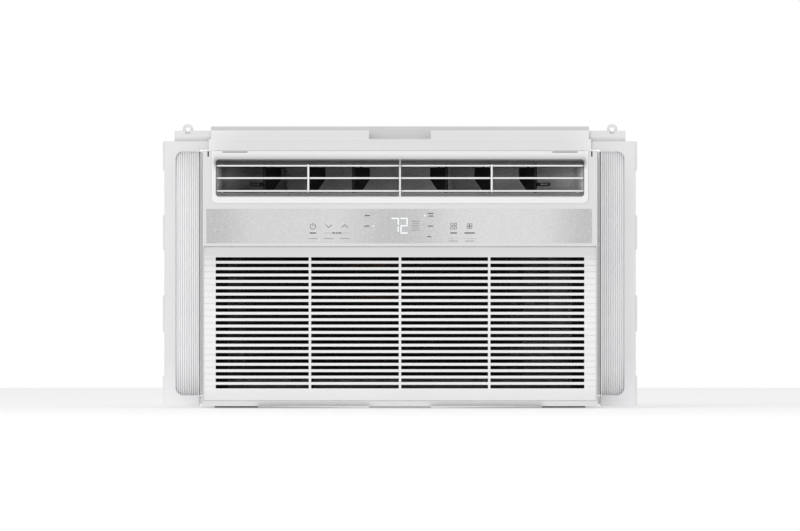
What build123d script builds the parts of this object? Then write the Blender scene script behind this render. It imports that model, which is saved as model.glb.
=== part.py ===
from build123d import *
import math
import os

os.makedirs("parts", exist_ok=True)

# Window air conditioner, in millimetres. X is width, Y is depth with the room side at -Y, Z is height
# above the sill. Every piece is built where it sits in the finished object.

# Overall shell
FRONT_Y = -200.0
FACE_Y = -198.5
GRILLE_BACK_Y = -135.0
FACE_HALF = 236.0
FACE_BOTTOM = 2.0
FACE_TOP = 307.0
CHIN_TOP = 8.5
WALL = 2.5
CAB_FRONT_Y = -140.0
CAB_BACK_Y = 200.0
CAB_HALF = 232.0
CAB_TOP = 302.0
SHEET = 1.2
PAN_Z = 17.0
PAN_WALL_TOP = 36.0

# Inlet grille
DOOR_HALF = 234.0
DOOR_BOTTOM = 9.1
DOOR_TOP = 192.8
DOOR_WALL = 5.0
DOOR_BACK_Y = -186.0
FRAME_WALL_Y = -184.5
HINGE_Y = -196.0
HINGE_Z = 190.3
SLOT_ROWS = 21
SLOT_PITCH = 7.615
SLOT_FIRST_Z = 177.7
SLOT_HEIGHT = 4.3
SLOT_HALF = 220.0
SLOT_BREAK = 0.25
RIB_X = (-107.5, 0.0, 106.5)
RIB_WIDTH = 2.9

# Control panel
PANEL_X0 = -231.0
PANEL_X1 = 229.0
PANEL_Z0 = 196.7
PANEL_Z1 = 237.4
PANEL_BACK_Y = -197.1
KEY_X = {"power": -104.0, "cooler": -85.0, "warmer": -66.0, "mode": 64.0, "fan": 83.0}
KEY_WIDTH = 16.0
KEY_Z0 = 203.2
KEY_Z1 = 227.2
KEY_GAP = 0.2
KEY_TRAVEL = 0.5
LAMP_SPOTS = ((-31.8, 217.0), (29.7, 229.6))

# Air outlet
BEZEL_HALF = 225.0
BEZEL_Z0 = 244.0
OUT_HALF = 220.0
OUT_Z0 = 252.0
OUT_Z1 = 297.0
BAY_HALF = 219.2
BAY_Z0 = 254.0
BAY_Z1 = 294.0
BAY_Y = -178.0
THROAT_HALF = 213.0
THROAT_Z0 = 257.0
THROAT_Z1 = 291.4
THROAT_Y = -172.0
POST_WIDTH = 2.2
SLIT_Z = 305.0
VANE_Z = (259.0, 274.4, 289.2)
VANE_Y = -187.0
VANE_CHORD = 16.0
VANE_THICK = 2.1
VANE_HALF = 218.6
VANE_RIB_X = (-109.5, 109.5)
VANE_PIN_Y = -192.5
BLADE_X = (55.5, 108.7, 161.8)
BLADE_Y = -168.0
BLADE_CHORD = 30.0
BLADE_ANGLE = 39.0
BLADE_Z0 = 260.0
BLADE_Z1 = 287.0
LINK_OFFSET = 14.0

# Window fitting
GUIDE_Y0 = -124.0
GUIDE_Y1 = -98.0
GUIDE_SHEET = 1.5
GUIDE_HALF = 229.0
GUIDE_END = 226.5
STRIP_LIP = 237.3
STRIP_EDGE = 241.0
STRIP_Z0 = 14.8
STRIP_Z1 = 306.5
BELLOWS_INNER = 241.4
ARM_INNER = 42.0
CURTAIN_OUTER = 282.2
CURTAIN_WINDOW = 268.7
CURTAIN_INNER = 240.0
CURTAIN_Y0 = -121.0
CURTAIN_Y1 = -101.0
CURTAIN_Z0 = 1.8
CURTAIN_Z1 = 318.8
EYE_X = 254.0
EYE_Z = 333.0
EYE_R = 6.4
EYE_HOLE_R = 2.75

# Machinery
FAN_X = -40.0
FAN_Z = 140.0
COMP_X = 160.0
COMP_Y = 34.0
COMP_R = 52.0


def slab(x0, x1, y0, y1, z0, z1, mode=Mode.ADD):
    """A box between two corners, in the part being built."""
    with Locations(((x0 + x1) / 2, (y0 + y1) / 2, (z0 + z1) / 2)):
        Box(abs(x1 - x0), abs(y1 - y0), abs(z1 - z0), mode=mode)


def rod_x(x0, x1, y, z, radius, mode=Mode.ADD):
    """A cylinder along X."""
    with Locations(Location(((x0 + x1) / 2, y, z), (0, 90, 0))):
        Cylinder(radius, abs(x1 - x0), mode=mode)


def rod_y(x, y0, y1, z, radius, mode=Mode.ADD):
    """A cylinder along Y."""
    with Locations(Location((x, (y0 + y1) / 2, z), (90, 0, 0))):
        Cylinder(radius, abs(y1 - y0), mode=mode)


def rod_z(x, y, z0, z1, radius, mode=Mode.ADD):
    """A cylinder along Z."""
    with Locations((x, y, (z0 + z1) / 2)):
        Cylinder(radius, abs(z1 - z0), mode=mode)


def save(part, name):
    """Label a finished piece and write its STEP file."""
    part.label = name
    export_step(part, f"parts/{name}.step")


def xz_plane(y):
    """A sketch plane facing the room at depth y, with sketch x as X and sketch y as Z."""
    return Plane(origin=(0, y, 0), x_dir=(1, 0, 0), z_dir=(0, -1, 0))


def yz_plane(x):
    """A sketch plane facing +X, with sketch x as Y and sketch y as Z."""
    return Plane(origin=(x, 0, 0), x_dir=(0, 1, 0), z_dir=(1, 0, 0))


def tube_path(points, bend):
    """A polyline with rounded bends, for sweeping a tube."""
    with BuildLine() as line:
        FilletPolyline(*points, radius=bend)
    return line.line


def tube(points, bend, radius):
    """A solid tube run along the rounded path."""
    path = tube_path(points, bend)
    start = Plane(origin=path @ 0, z_dir=path % 0)
    with BuildPart() as run:
        with BuildSketch(start):
            Circle(radius)
        sweep(path=path)
    return run.part


# ---------------------------------------------------------------- front moulding
with BuildPart() as front_grille:
    with BuildSketch(yz_plane(-FACE_HALF)):
        with BuildLine():
            Polyline(
                (FACE_Y, FACE_TOP),
                (GRILLE_BACK_Y, FACE_TOP),
                (GRILLE_BACK_Y, FACE_BOTTOM),
                (FACE_Y + 6.5, FACE_BOTTOM),
                (FACE_Y, CHIN_TOP),
                close=True,
            )
        make_face()
    extrude(amount=2 * FACE_HALF)
    corner_edges = front_grille.edges().filter_by(Axis.Y).filter_by_position(Axis.Z, FACE_TOP - 1, FACE_TOP + 1)
    fillet(corner_edges, radius=2.5)
    fillet(front_grille.faces().sort_by(Axis.Y)[0].edges(), radius=1.2)
    # Hollow above and below the panel line
    inner = FACE_HALF - WALL
    slab(-inner, inner, FACE_Y + WALL + 1, GRILLE_BACK_Y, DOOR_TOP + 3, FACE_TOP - WALL, Mode.SUBTRACT)
    slab(-inner, inner, FRAME_WALL_Y + WALL, GRILLE_BACK_Y, FACE_BOTTOM + WALL, DOOR_TOP + 3, Mode.SUBTRACT)
    # Recess for the inlet grille, between two side cheeks
    door_gap = 0.3
    slab(-DOOR_HALF - door_gap, DOOR_HALF + door_gap, FACE_Y - 1, FRAME_WALL_Y,
         DOOR_BOTTOM - 0.4, DOOR_TOP + 0.4, Mode.SUBTRACT)
    # Inlet window in the frame wall
    slab(-206, 206, FRAME_WALL_Y - 1, FRAME_WALL_Y + WALL + 1, 20, 182, Mode.SUBTRACT)
    # Way down for the filter through the bottom wall
    slab(-213, 213, -181.5, -176, FACE_BOTTOM - 1, FACE_BOTTOM + WALL + 1, Mode.SUBTRACT)
    # Panel recess and windows behind the keys and display
    slab(PANEL_X0, PANEL_X1, FACE_Y - 1, PANEL_BACK_Y, PANEL_Z0, PANEL_Z1, Mode.SUBTRACT)
    for x0, x1 in ((-114.5, -55.5), (54.0, 93.0), (-36.0, 36.0)):
        slab(x0, x1, PANEL_BACK_Y - 1, FACE_Y + WALL + 2, KEY_Z0 - 1.6, KEY_Z1 + 5.0, Mode.SUBTRACT)
    # Small slots at the top corners of the face
    for side in (-1, 1):
        slab(side * 228.2, side * 229.8, FACE_Y - 1, FACE_Y + 1.8, 300, FACE_TOP + 1, Mode.SUBTRACT)
    # Raised outlet bezel
    with BuildSketch(xz_plane(FACE_Y)):
        with Locations((0, (BEZEL_Z0 + FACE_TOP) / 2)):
            RectangleRounded(2 * BEZEL_HALF, FACE_TOP - BEZEL_Z0, 6.5)
    extrude(amount=FACE_Y - FRONT_Y)
    slab(-BEZEL_HALF, BEZEL_HALF, FRONT_Y, FACE_Y + 2, FACE_TOP - 8, FACE_TOP)
    # Blocks round the vane bay and the throat, then the mouth, the funnel behind it and the straight throat
    slab(-BAY_HALF - 3.8, BAY_HALF + 3.8, FACE_Y + 1, THROAT_Y + 1, BAY_Z0 - 2.5, BAY_Z1 + 2.5)
    slab(-THROAT_HALF - 2.5, THROAT_HALF + 2.5, THROAT_Y, GRILLE_BACK_Y, THROAT_Z0 - 2.5, THROAT_Z1 + 2.5)
    stages = (
        (FRONT_Y, OUT_HALF, OUT_Z0, OUT_Z1, 4.2),
        (BAY_Y, BAY_HALF, BAY_Z0, BAY_Z1, 2.2),
        (THROAT_Y, THROAT_HALF, THROAT_Z0, THROAT_Z1, 4.2),
    )
    for first, second in zip(stages, stages[1:]):
        for plane_y, half, z0, z1, corner in (first, second):
            with BuildSketch(xz_plane(plane_y)):
                with Locations((0, (z0 + z1) / 2)):
                    RectangleRounded(2 * half, z1 - z0, corner)
        loft(mode=Mode.SUBTRACT)
    with BuildSketch(xz_plane(THROAT_Y - 0.2)):
        with Locations((0, (THROAT_Z0 + THROAT_Z1) / 2)):
            RectangleRounded(2 * THROAT_HALF, THROAT_Z1 - THROAT_Z0, 4.2)
    extrude(amount=THROAT_Y - 1.2 - GRILLE_BACK_Y, mode=Mode.SUBTRACT)
    fillet(front_grille.faces().sort_by(Axis.Y)[0].edges(), radius=0.8)
    # Centre post in front of the vanes, and the thin release slits in the bezel's top edge
    slab(-POST_WIDTH / 2, POST_WIDTH / 2, FRONT_Y + 0.8, FRONT_Y + 3.8, OUT_Z0 - 1, OUT_Z1 + 1)
    for side in (-1, 1):
        slab(side * 182, side * 212, FRONT_Y - 1, FRONT_Y + 3, SLIT_Z, SLIT_Z + 0.9, Mode.SUBTRACT)
    # Pivot holes
    for z in VANE_Z:
        for side in (-1, 1):
            rod_x(side * (BAY_HALF - 1), side * (BAY_HALF + 2.6), VANE_Y, z, 1.25, Mode.SUBTRACT)
    for x in BLADE_X:
        for side in (-1, 1):
            rod_z(side * x, BLADE_Y, THROAT_Z0 - 3, THROAT_Z0 + 1, 1.58, Mode.SUBTRACT)
            rod_z(side * x, BLADE_Y, THROAT_Z1 - 1, THROAT_Z1 + 3, 1.58, Mode.SUBTRACT)
    for side in (-1, 1):
        rod_x(side * (DOOR_HALF - 1), side * (FACE_HALF - 0.6), HINGE_Y, HINGE_Z, 1.15, Mode.SUBTRACT)
    # Rails that hold the filter behind the frame wall
    for side in (-1, 1):
        slab(side * 213.4, side * 215.4, FRAME_WALL_Y + WALL, -175.0, FACE_BOTTOM + WALL, 186)
        slab(side * 206.5, side * 215.4, -177.0, -175.0, 14, 186)
save(front_grille.part, "front_grille")

# ---------------------------------------------------------------- inlet grille
with BuildPart() as inlet_grille:
    with BuildSketch(yz_plane(-DOOR_HALF)):
        with BuildLine():
            Polyline(
                (HINGE_Y, DOOR_TOP),
                (DOOR_BACK_Y, DOOR_TOP),
                (DOOR_BACK_Y, DOOR_BOTTOM),
                (FACE_Y, DOOR_BOTTOM),
                (FACE_Y, HINGE_Z),
            )
            RadiusArc((FACE_Y, HINGE_Z), (HINGE_Y, DOOR_TOP), HINGE_Y - FACE_Y)
        make_face()
    extrude(amount=2 * DOOR_HALF)
    slab(-DOOR_HALF + 2, DOOR_HALF - 2, FACE_Y + DOOR_WALL, DOOR_BACK_Y + 1, DOOR_BOTTOM + 2,
         DOOR_TOP - 4.6, Mode.SUBTRACT)
    row_z = [SLOT_FIRST_Z - SLOT_PITCH * row for row in range(SLOT_ROWS)]
    edges_x = [-SLOT_HALF]
    for rib in RIB_X:
        edges_x += [rib - RIB_WIDTH / 2, rib + RIB_WIDTH / 2]
    edges_x.append(SLOT_HALF)
    for left, right in zip(edges_x[0::2], edges_x[1::2]):
        with BuildSketch(xz_plane(FACE_Y)):
            for z in row_z:
                with Locations(((left + right) / 2, z)):
                    Rectangle(right - left, SLOT_HEIGHT)
        extrude(amount=-DOOR_WALL - 1, mode=Mode.SUBTRACT)
        with BuildSketch(xz_plane(FACE_Y)):
            for z in row_z:
                with Locations(((left + right) / 2, z)):
                    Rectangle(right - left + 2 * SLOT_BREAK, SLOT_HEIGHT + 2 * SLOT_BREAK)
        extrude(amount=-SLOT_BREAK, taper=45, mode=Mode.SUBTRACT)
    # Shallow grooves carry the slat lines out to the sides
    for side in (-1, 1):
        with BuildSketch(xz_plane(FACE_Y)):
            for z in row_z:
                with Locations((side * (SLOT_HALF + DOOR_HALF) / 2, z)):
                    Rectangle(DOOR_HALF - SLOT_HALF + 0.02, 0.8)
        extrude(amount=-0.4, mode=Mode.SUBTRACT)
        rod_x(side * (DOOR_HALF - 1), side * (DOOR_HALF + 1.2), HINGE_Y, HINGE_Z, 1.1)
save(inlet_grille.part, "inlet_grille")

# ---------------------------------------------------------------- filter
with BuildPart() as filter_frame:
    slab(-212.5, 212.5, -181.2, -177.6, 3.0, 184)
    edges_f = [-208.0, -105.5, -103.5, -1.0, 1.0, 103.5, 105.5, 208.0]
    for x0, x1 in zip(edges_f[0::2], edges_f[1::2]):
        for z0, z1 in ((12, 94), (96, 180)):
            slab(x0, x1, -182, -177, z0, z1, Mode.SUBTRACT)
save(filter_frame.part, "filter_frame")

with BuildPart() as filter_mesh:
    for x0, x1 in zip(edges_f[0::2], edges_f[1::2]):
        for z0, z1 in ((12, 94), (96, 180)):
            slab(x0, x1, -179.9, -179.0, z0, z1)
save(filter_mesh.part, "filter_mesh")

# ---------------------------------------------------------------- control panel, keys and lamps
DIGIT_STROKE = 1.5


def digit_bars(x0, segments):
    """Boxes of a seven-segment digit whose left edge is x0: (x0, x1, z0, z1) for each lit bar."""
    width, low, mid, top = 8.8, 208.0, 217.5, 227.0
    bars = {
        "a": (x0, x0 + width, top - DIGIT_STROKE, top),
        "b": (x0 + width - DIGIT_STROKE, x0 + width, mid + 1.1, top - DIGIT_STROKE - 0.3),
        "c": (x0 + width - DIGIT_STROKE, x0 + width, low + 2.0, mid - 1.1),
        "d": (x0, x0 + width, low, low + DIGIT_STROKE),
        "e": (x0, x0 + DIGIT_STROKE, low + 2.0, mid - 1.1),
        "g": (x0, x0 + width, mid - DIGIT_STROKE / 2, mid + DIGIT_STROKE / 2),
    }
    return [bars[segment] for segment in segments]


LIT_BARS = digit_bars(-10.2, "abc") + digit_bars(0.4, "abged")
LAMP_R = 0.95

with BuildPart() as control_panel:
    slab(PANEL_X0, PANEL_X1, FACE_Y - 0.1, PANEL_BACK_Y, PANEL_Z0, PANEL_Z1)
    for x in KEY_X.values():
        slab(x - KEY_WIDTH / 2 - KEY_GAP, x + KEY_WIDTH / 2 + KEY_GAP, FACE_Y - 1, PANEL_BACK_Y + 1,
             KEY_Z0 - KEY_GAP, KEY_Z1 + KEY_GAP, Mode.SUBTRACT)
    for x0, x1, z0, z1 in LIT_BARS:
        slab(x0, x1, FACE_Y - 1, PANEL_BACK_Y + 1, z0, z1, Mode.SUBTRACT)
    for x, z in LAMP_SPOTS:
        rod_y(x, FACE_Y - 1, PANEL_BACK_Y + 1, z, LAMP_R, Mode.SUBTRACT)
save(control_panel.part, "control_panel")

with BuildPart() as display_lamps:
    for x0, x1, z0, z1 in LIT_BARS:
        slab(x0, x1, FACE_Y - 0.15, -195.2, z0, z1)
    for x, z in LAMP_SPOTS:
        rod_y(x, FACE_Y - 0.15, -195.2, z, LAMP_R)
save(display_lamps.part, "display_lamps")

BOARD_Y = -186.0
with BuildPart() as display_board:
    slab(-120, 112, BOARD_Y, BOARD_Y + 1.6, 200, 236)
    slab(-14, 14, -195.2, BOARD_Y, 206, 229)
    for x, z in LAMP_SPOTS:
        rod_y(x, -195.2, BOARD_Y, z, 1.6)
save(display_board.part, "display_board")

KEY_MID_Z = (KEY_Z0 + KEY_Z1) / 2
with BuildPart() as key_switches:
    for x in KEY_X.values():
        slab(x - 3, x + 3, -189.8, BOARD_Y, KEY_MID_Z - 3, KEY_MID_Z + 3)
        rod_y(x, -190.4, -189.8, KEY_MID_Z, 1.7)
save(key_switches.part, "key_switches")

for key_name, key_x in KEY_X.items():
    with BuildPart() as key_cap:
        slab(key_x - KEY_WIDTH / 2, key_x + KEY_WIDTH / 2, FACE_Y - 0.1, -196.9, KEY_Z0, KEY_Z1)
        slab(key_x - 9, key_x + 9, -196.9, -195.9, KEY_Z0 - 1.0, KEY_Z1 + 1.0)
        slab(key_x - 2.5, key_x + 2.5, -195.9, -191.1, KEY_MID_Z - 2.5, KEY_MID_Z + 2.5)
    save(key_cap.part, f"key_{key_name}")

# ---------------------------------------------------------------- horizontal vanes
VANE_NAMES = ("vane_bottom", "vane_middle", "vane_top")
for vane_name, vane_z in zip(VANE_NAMES, VANE_Z):
    with BuildPart() as vane:
        with BuildSketch(yz_plane(-VANE_HALF)):
            with Locations((VANE_Y, vane_z)):
                SlotOverall(VANE_CHORD, VANE_THICK)
        extrude(amount=2 * VANE_HALF)
        for side in (-1, 1):
            rod_x(side * (VANE_HALF - 1), side * (VANE_HALF + 2.6), VANE_Y, vane_z, 1.2)
        for x in VANE_RIB_X:
            slab(x - 1.6, x + 1.6, VANE_Y - VANE_CHORD, VANE_PIN_Y + 3.3, vane_z - 2, vane_z + 2, Mode.SUBTRACT)
        for x in VANE_RIB_X:
            rod_x(x - 1.9, x + 1.9, VANE_PIN_Y, vane_z, 0.7)
    save(vane.part, vane_name)

with BuildPart() as vane_tie_ribs:
    for x in VANE_RIB_X:
        slab(x - 1.1, x + 1.1, VANE_PIN_Y - 2.1, VANE_PIN_Y + 2.1, VANE_Z[0] - 1.6, VANE_Z[2] + 1.6)
        for z in VANE_Z:
            rod_x(x - 2, x + 2, VANE_PIN_Y, z, 0.76, Mode.SUBTRACT)
save(vane_tie_ribs.part, "vane_tie_ribs")


# ---------------------------------------------------------------- upright blades
def blade_point(side, pivot_x, along):
    """A point on the blade line, a distance behind its pivot (negative is in front)."""
    angle = math.radians(BLADE_ANGLE)
    return (side * (pivot_x - along * math.sin(angle)), BLADE_Y + along * math.cos(angle))


def make_blade(side, pivot_x, lever):
    """One upright blade with its pivots and link stub; the outermost one has the finger lever."""
    turn = side * (BLADE_ANGLE)
    place = Location((side * pivot_x, BLADE_Y, 0), (0, 0, turn))
    with BuildPart() as blade:
        with BuildSketch(Plane.YZ.offset(-0.8)):
            with BuildLine():
                Polyline(
                    (-2.0, BLADE_Z0),
                    (16.0, BLADE_Z0),
                    (BLADE_CHORD, BLADE_Z0 + 13),
                    (BLADE_CHORD, BLADE_Z1),
                    (-2.0, BLADE_Z1),
                    close=True,
                )
            make_face()
        extrude(amount=1.6)
        rod_z(0, 0, BLADE_Z0, BLADE_Z1, 2.0)
        rod_z(0, 0, BLADE_Z0 - 2.6, BLADE_Z0, 2.8)
        rod_z(0, 0, THROAT_Z0 - 2.2, BLADE_Z0, 1.5)
        rod_z(0, 0, BLADE_Z1, THROAT_Z1 + 2.2, 1.5)
        rod_z(0, LINK_OFFSET, BLADE_Z1 - 1, BLADE_Z1 + 3.6, 1.1)
        if lever:
            with BuildSketch(Plane.YZ.offset(-1.2)):
                with Locations((-13.5, 267.0)):
                    SlotOverall(28, 4.2)
                with Locations((-17.0, 267.0)):
                    SlotOverall(17, 1.8, mode=Mode.SUBTRACT)
            extrude(amount=2.4)
    return blade.part.moved(place)


BLADE_LABELS = ("inner", "middle", "outer")
for side, side_name in ((-1, "left"), (1, "right")):
    for blade_label, blade_x in zip(BLADE_LABELS, BLADE_X):
        save(make_blade(side, blade_x, blade_label == "outer"), f"blade_{side_name}_{blade_label}")
    with BuildPart() as link_bar:
        spots = [blade_point(side, blade_x, LINK_OFFSET) for blade_x in BLADE_X]
        ends = sorted((spots[0][0], spots[-1][0]))
        slab(ends[0], ends[1], spots[0][1] - 1.7, spots[0][1] + 1.7, BLADE_Z1 + 0.8, BLADE_Z1 + 2.8)
        for x, y in spots:
            rod_z(x, y, BLADE_Z1 + 0.8, BLADE_Z1 + 2.8, 2.6)
        for x, y in spots:
            rod_z(x, y, BLADE_Z1, BLADE_Z1 + 4, 1.17, Mode.SUBTRACT)
    save(link_bar.part, f"blade_link_{side_name}")

# ---------------------------------------------------------------- window guides
with BuildPart() as upper_guide:
    slab(-GUIDE_HALF, GUIDE_HALF, GUIDE_Y0, GUIDE_Y0 + GUIDE_SHEET, CAB_TOP, 321.5)
    slab(-GUIDE_HALF, GUIDE_HALF, GUIDE_Y0, GUIDE_Y1, CAB_TOP, CAB_TOP + GUIDE_SHEET)
    slab(-GUIDE_END, GUIDE_END, GUIDE_Y1 - GUIDE_SHEET, GUIDE_Y1, CAB_TOP, 336.7)
    lip_y = GUIDE_Y0 + GUIDE_SHEET
    slab(-GUIDE_END, GUIDE_END, lip_y - 0.5, lip_y + 1.2, 318.5, 331.9)
    slab(-37, 37, GUIDE_Y0 - 1, lip_y + 2, 321.5, 333, Mode.SUBTRACT)
    for x in (-190, -70, 70, 190):
        rod_z(x, -111, CAB_TOP - 1, CAB_TOP + 3, 2.2, Mode.SUBTRACT)
save(upper_guide.part, "upper_guide")

with BuildPart() as lower_guide:
    slab(-GUIDE_HALF, GUIDE_HALF, GUIDE_Y0, GUIDE_Y1, 1.5, 3.0)
    slab(-GUIDE_HALF, GUIDE_HALF, GUIDE_Y0, GUIDE_Y0 + GUIDE_SHEET, 1.5, PAN_Z)
    slab(-GUIDE_HALF, GUIDE_HALF, GUIDE_Y1 - GUIDE_SHEET, GUIDE_Y1, 1.5, PAN_Z)
    slab(-38, 38, GUIDE_Y0 - 1, GUIDE_Y0 + 8, 1, 4.5, Mode.SUBTRACT)
save(lower_guide.part, "lower_guide")

with BuildPart() as bellows_strips:
    for side in (-1, 1):
        slab(side * CAB_HALF, side * (CAB_HALF + 1.5), CURTAIN_Y0 + 10, CURTAIN_Y1, STRIP_Z0, STRIP_Z1)
        for y0 in (CURTAIN_Y0 + 10, CURTAIN_Y1 - 1.5):
            slab(side * CAB_HALF, side * STRIP_EDGE, y0, y0 + 1.5, STRIP_Z0, STRIP_Z1)
        slab(side * STRIP_LIP, side * (STRIP_LIP + 1.6), CURTAIN_Y0, CURTAIN_Y0 + 11, STRIP_Z0, STRIP_Z1)
save(bellows_strips.part, "bellows_strips")


# ---------------------------------------------------------------- curtain frames and bellows
PAD_SPANS = ((2.6, 38.0), (91.0, 134.0), (189.0, 230.0), (284.0, 318.0))


def make_curtain(side):
    """A curtain frame: outer stile with pads, rails, arms that run in the guides, and the screw eye."""
    with BuildPart() as frame:
        slab(side * CURTAIN_INNER, side * CURTAIN_OUTER, CURTAIN_Y0, CURTAIN_Y1, CURTAIN_Z0, CURTAIN_Z1)
        slab(side * 200, side * CURTAIN_WINDOW, CURTAIN_Y0 - 1, CURTAIN_Y1 + 1, 14.3, 307.0, Mode.SUBTRACT)
        inner_edges = frame.edges().filter_by(Axis.Y).filter_by_position(Axis.X, *sorted(
            (side * CURTAIN_WINDOW - 0.5, side * CURTAIN_WINDOW + 0.5)))
        fillet(inner_edges, radius=10)
        slab(side * ARM_INNER, side * CURTAIN_OUTER, CURTAIN_Y0, CURTAIN_Y1, 309.0, CURTAIN_Z1)
        slab(side * ARM_INNER, side * 250, CURTAIN_Y0 + 1.5, CURTAIN_Y1 - 1.5, 4.2, 13.6)
        slab(side * ARM_INNER, side * 270, CURTAIN_Y0 + 3.5, CURTAIN_Y1 - 0.5, CURTAIN_Z1 - 1, 320.5)
        with BuildSketch(yz_plane(min(side * ARM_INNER, side * 270))):
            with BuildLine():
                Polyline(
                    (CURTAIN_Y0 + 3.4, 319.4),
                    (CURTAIN_Y0 + 1.4, 323.4),
                    (CURTAIN_Y0 + 1.4, 331.4),
                    (CURTAIN_Y1, 331.4),
                    (CURTAIN_Y1, 319.4),
                    close=True,
                )
            make_face()
        extrude(amount=270 - ARM_INNER)
        for z0, z1 in PAD_SPANS:
            slab(side * (CURTAIN_OUTER - 1), side * (CURTAIN_OUTER + 1.8), CURTAIN_Y0 + 1, CURTAIN_Y1 - 1, z0, z1)
        rod_y(side * EYE_X, -114, -108, EYE_Z, EYE_R)
        rod_y(side * EYE_X, -122, -98, EYE_Z, EYE_HOLE_R, Mode.SUBTRACT)
        slab(side * (EYE_X - EYE_HOLE_R), side * (EYE_X + EYE_HOLE_R), -122, -114, 328, 336, Mode.SUBTRACT)
        slab(side * (EYE_X - EYE_HOLE_R), side * (EYE_X + EYE_HOLE_R), -108, -98, 328, 336, Mode.SUBTRACT)
    return frame.part


def make_bellows(side):
    """The folded curtain at rest, as one plain block with its outer corners rounded."""
    with BuildPart() as bellows:
        slab(side * BELLOWS_INNER, side * (CURTAIN_WINDOW - 0.2), -118.5, -103.5, 14.5, 306.8)
        outer = side * (CURTAIN_WINDOW - 0.2)
        rounded = bellows.edges().filter_by(Axis.Y).filter_by_position(Axis.X, *sorted(
            (outer - 0.2, outer + 0.2)))
        fillet(rounded, radius=9.9)
    return bellows.part


for side, side_name in ((-1, "left"), (1, "right")):
    save(make_curtain(side), f"curtain_{side_name}")
    save(make_bellows(side), f"bellows_{side_name}")

# ---------------------------------------------------------------- cabinet, base pan and feet
with BuildPart() as cabinet:
    slab(-CAB_HALF, CAB_HALF, CAB_FRONT_Y, CAB_BACK_Y, PAN_Z + 0.4, CAB_TOP)
    top_edges = cabinet.edges().filter_by(Axis.Y).filter_by_position(Axis.Z, CAB_TOP - 1, CAB_TOP + 1)
    fillet(top_edges, radius=4)
    slab(-CAB_HALF + SHEET, CAB_HALF - SHEET, CAB_FRONT_Y - 1, CAB_BACK_Y - SHEET, PAN_Z - 1,
         CAB_TOP - SHEET, Mode.SUBTRACT)
    slab(-CAB_HALF + 12, CAB_HALF - 12, CAB_FRONT_Y - 1, CAB_BACK_Y + 1, PAN_Z - 1, CAB_TOP - 12, Mode.SUBTRACT)
    for row in range(20):
        z = 62 + row * 10
        for side in (-1, 1):
            slab(side * (CAB_HALF - 3), side * (CAB_HALF + 1), 4, 84, z, z + 3.6, Mode.SUBTRACT)
    for column in range(14):
        x = -150 + column * 22
        slab(x, x + 8, 0, 84, CAB_TOP - 3, CAB_TOP + 1, Mode.SUBTRACT)
    for x in (-190, -70, 70, 190):
        rod_z(x, -111, CAB_TOP - 4, CAB_TOP + 1, 1.6, Mode.SUBTRACT)
    for side in (-1, 1):
        for y in (-60, 120):
            rod_x(side * (CAB_HALF - 4), side * (CAB_HALF + 1), y, 27, 1.6, Mode.SUBTRACT)
save(cabinet.part, "cabinet")

pan_half = CAB_HALF - SHEET
with BuildPart() as base_pan:
    slab(-pan_half, pan_half, -131, CAB_BACK_Y - 2, PAN_Z, PAN_WALL_TOP)
    slab(-pan_half + SHEET, pan_half - SHEET, -131 + SHEET, CAB_BACK_Y - 2 - SHEET, PAN_Z + SHEET, PAN_WALL_TOP + 1,
         Mode.SUBTRACT)
    rod_z(-120, 120, PAN_Z - 1, PAN_Z + 2, 6.05, Mode.SUBTRACT)
    for side in (-1, 1):
        for y in (-60, 120):
            rod_x(side * (pan_half - 4), side * (pan_half + 1), y, 27, 1.6, Mode.SUBTRACT)
save(base_pan.part, "base_pan")

with BuildPart() as drain_plug:
    rod_z(-120, 120, PAN_Z - 3, PAN_Z, 9)
    rod_z(-120, 120, PAN_Z, PAN_Z + 3, 6)
save(drain_plug.part, "drain_plug")

with BuildPart() as screws:
    for x in (-190, -70, 70, 190):
        rod_z(x, -111, CAB_TOP + 1.5, CAB_TOP + 3.6, 3.6)
        rod_z(x, -111, CAB_TOP - 6, CAB_TOP + 1.5, 1.6)
    for side in (-1, 1):
        for y in (-60, 120):
            rod_x(side * CAB_HALF, side * (CAB_HALF + 2.1), y, 27, 3.6)
            rod_x(side * (CAB_HALF - 8), side * CAB_HALF, y, 27, 1.6)
save(screws.part, "screws")

with BuildPart() as front_pads:
    for side in (-1, 1):
        slab(side * 170, side * 222, -122, -100, 0, 1.5)
save(front_pads.part, "front_pads")

with BuildPart() as rear_feet:
    for side in (-1, 1):
        with BuildSketch(Plane.XY):
            with Locations((side * 165, 150)):
                RectangleRounded(46, 30, 5)
        extrude(amount=PAN_Z)
save(rear_feet.part, "rear_feet")

# ---------------------------------------------------------------- air path
with BuildPart() as outlet_duct:
    slab(-THROAT_HALF - 2, THROAT_HALF + 2, GRILLE_BACK_Y, -38, THROAT_Z0 - 2, THROAT_Z1 + 2)
    slab(-THROAT_HALF, THROAT_HALF, GRILLE_BACK_Y - 1, -40, THROAT_Z0, THROAT_Z1, Mode.SUBTRACT)
    slab(-128, 28, -92, -44, THROAT_Z0 - 3, THROAT_Z0 + 1, Mode.SUBTRACT)
save(outlet_duct.part, "outlet_duct")

SCROLL_TOP = THROAT_Z0 - 2
with BuildPart() as blower_scroll:
    with BuildSketch(xz_plane(-94)):
        with Locations((FAN_X, FAN_Z)):
            Circle(92)
        with Locations((-50, (FAN_Z + SCROLL_TOP) / 2)):
            Rectangle(160, SCROLL_TOP - FAN_Z)
    extrude(amount=-52)
    with BuildSketch(xz_plane(-92)):
        with Locations((FAN_X, FAN_Z)):
            Circle(90)
        with Locations((-50, (FAN_Z + SCROLL_TOP) / 2 + 2)):
            Rectangle(156, SCROLL_TOP - FAN_Z + 4)
    extrude(amount=-48, mode=Mode.SUBTRACT)
    rod_y(FAN_X, -95, -91, FAN_Z, 62, Mode.SUBTRACT)
    rod_y(FAN_X, -45, -41, FAN_Z, 12, Mode.SUBTRACT)
save(blower_scroll.part, "blower_scroll")

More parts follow.
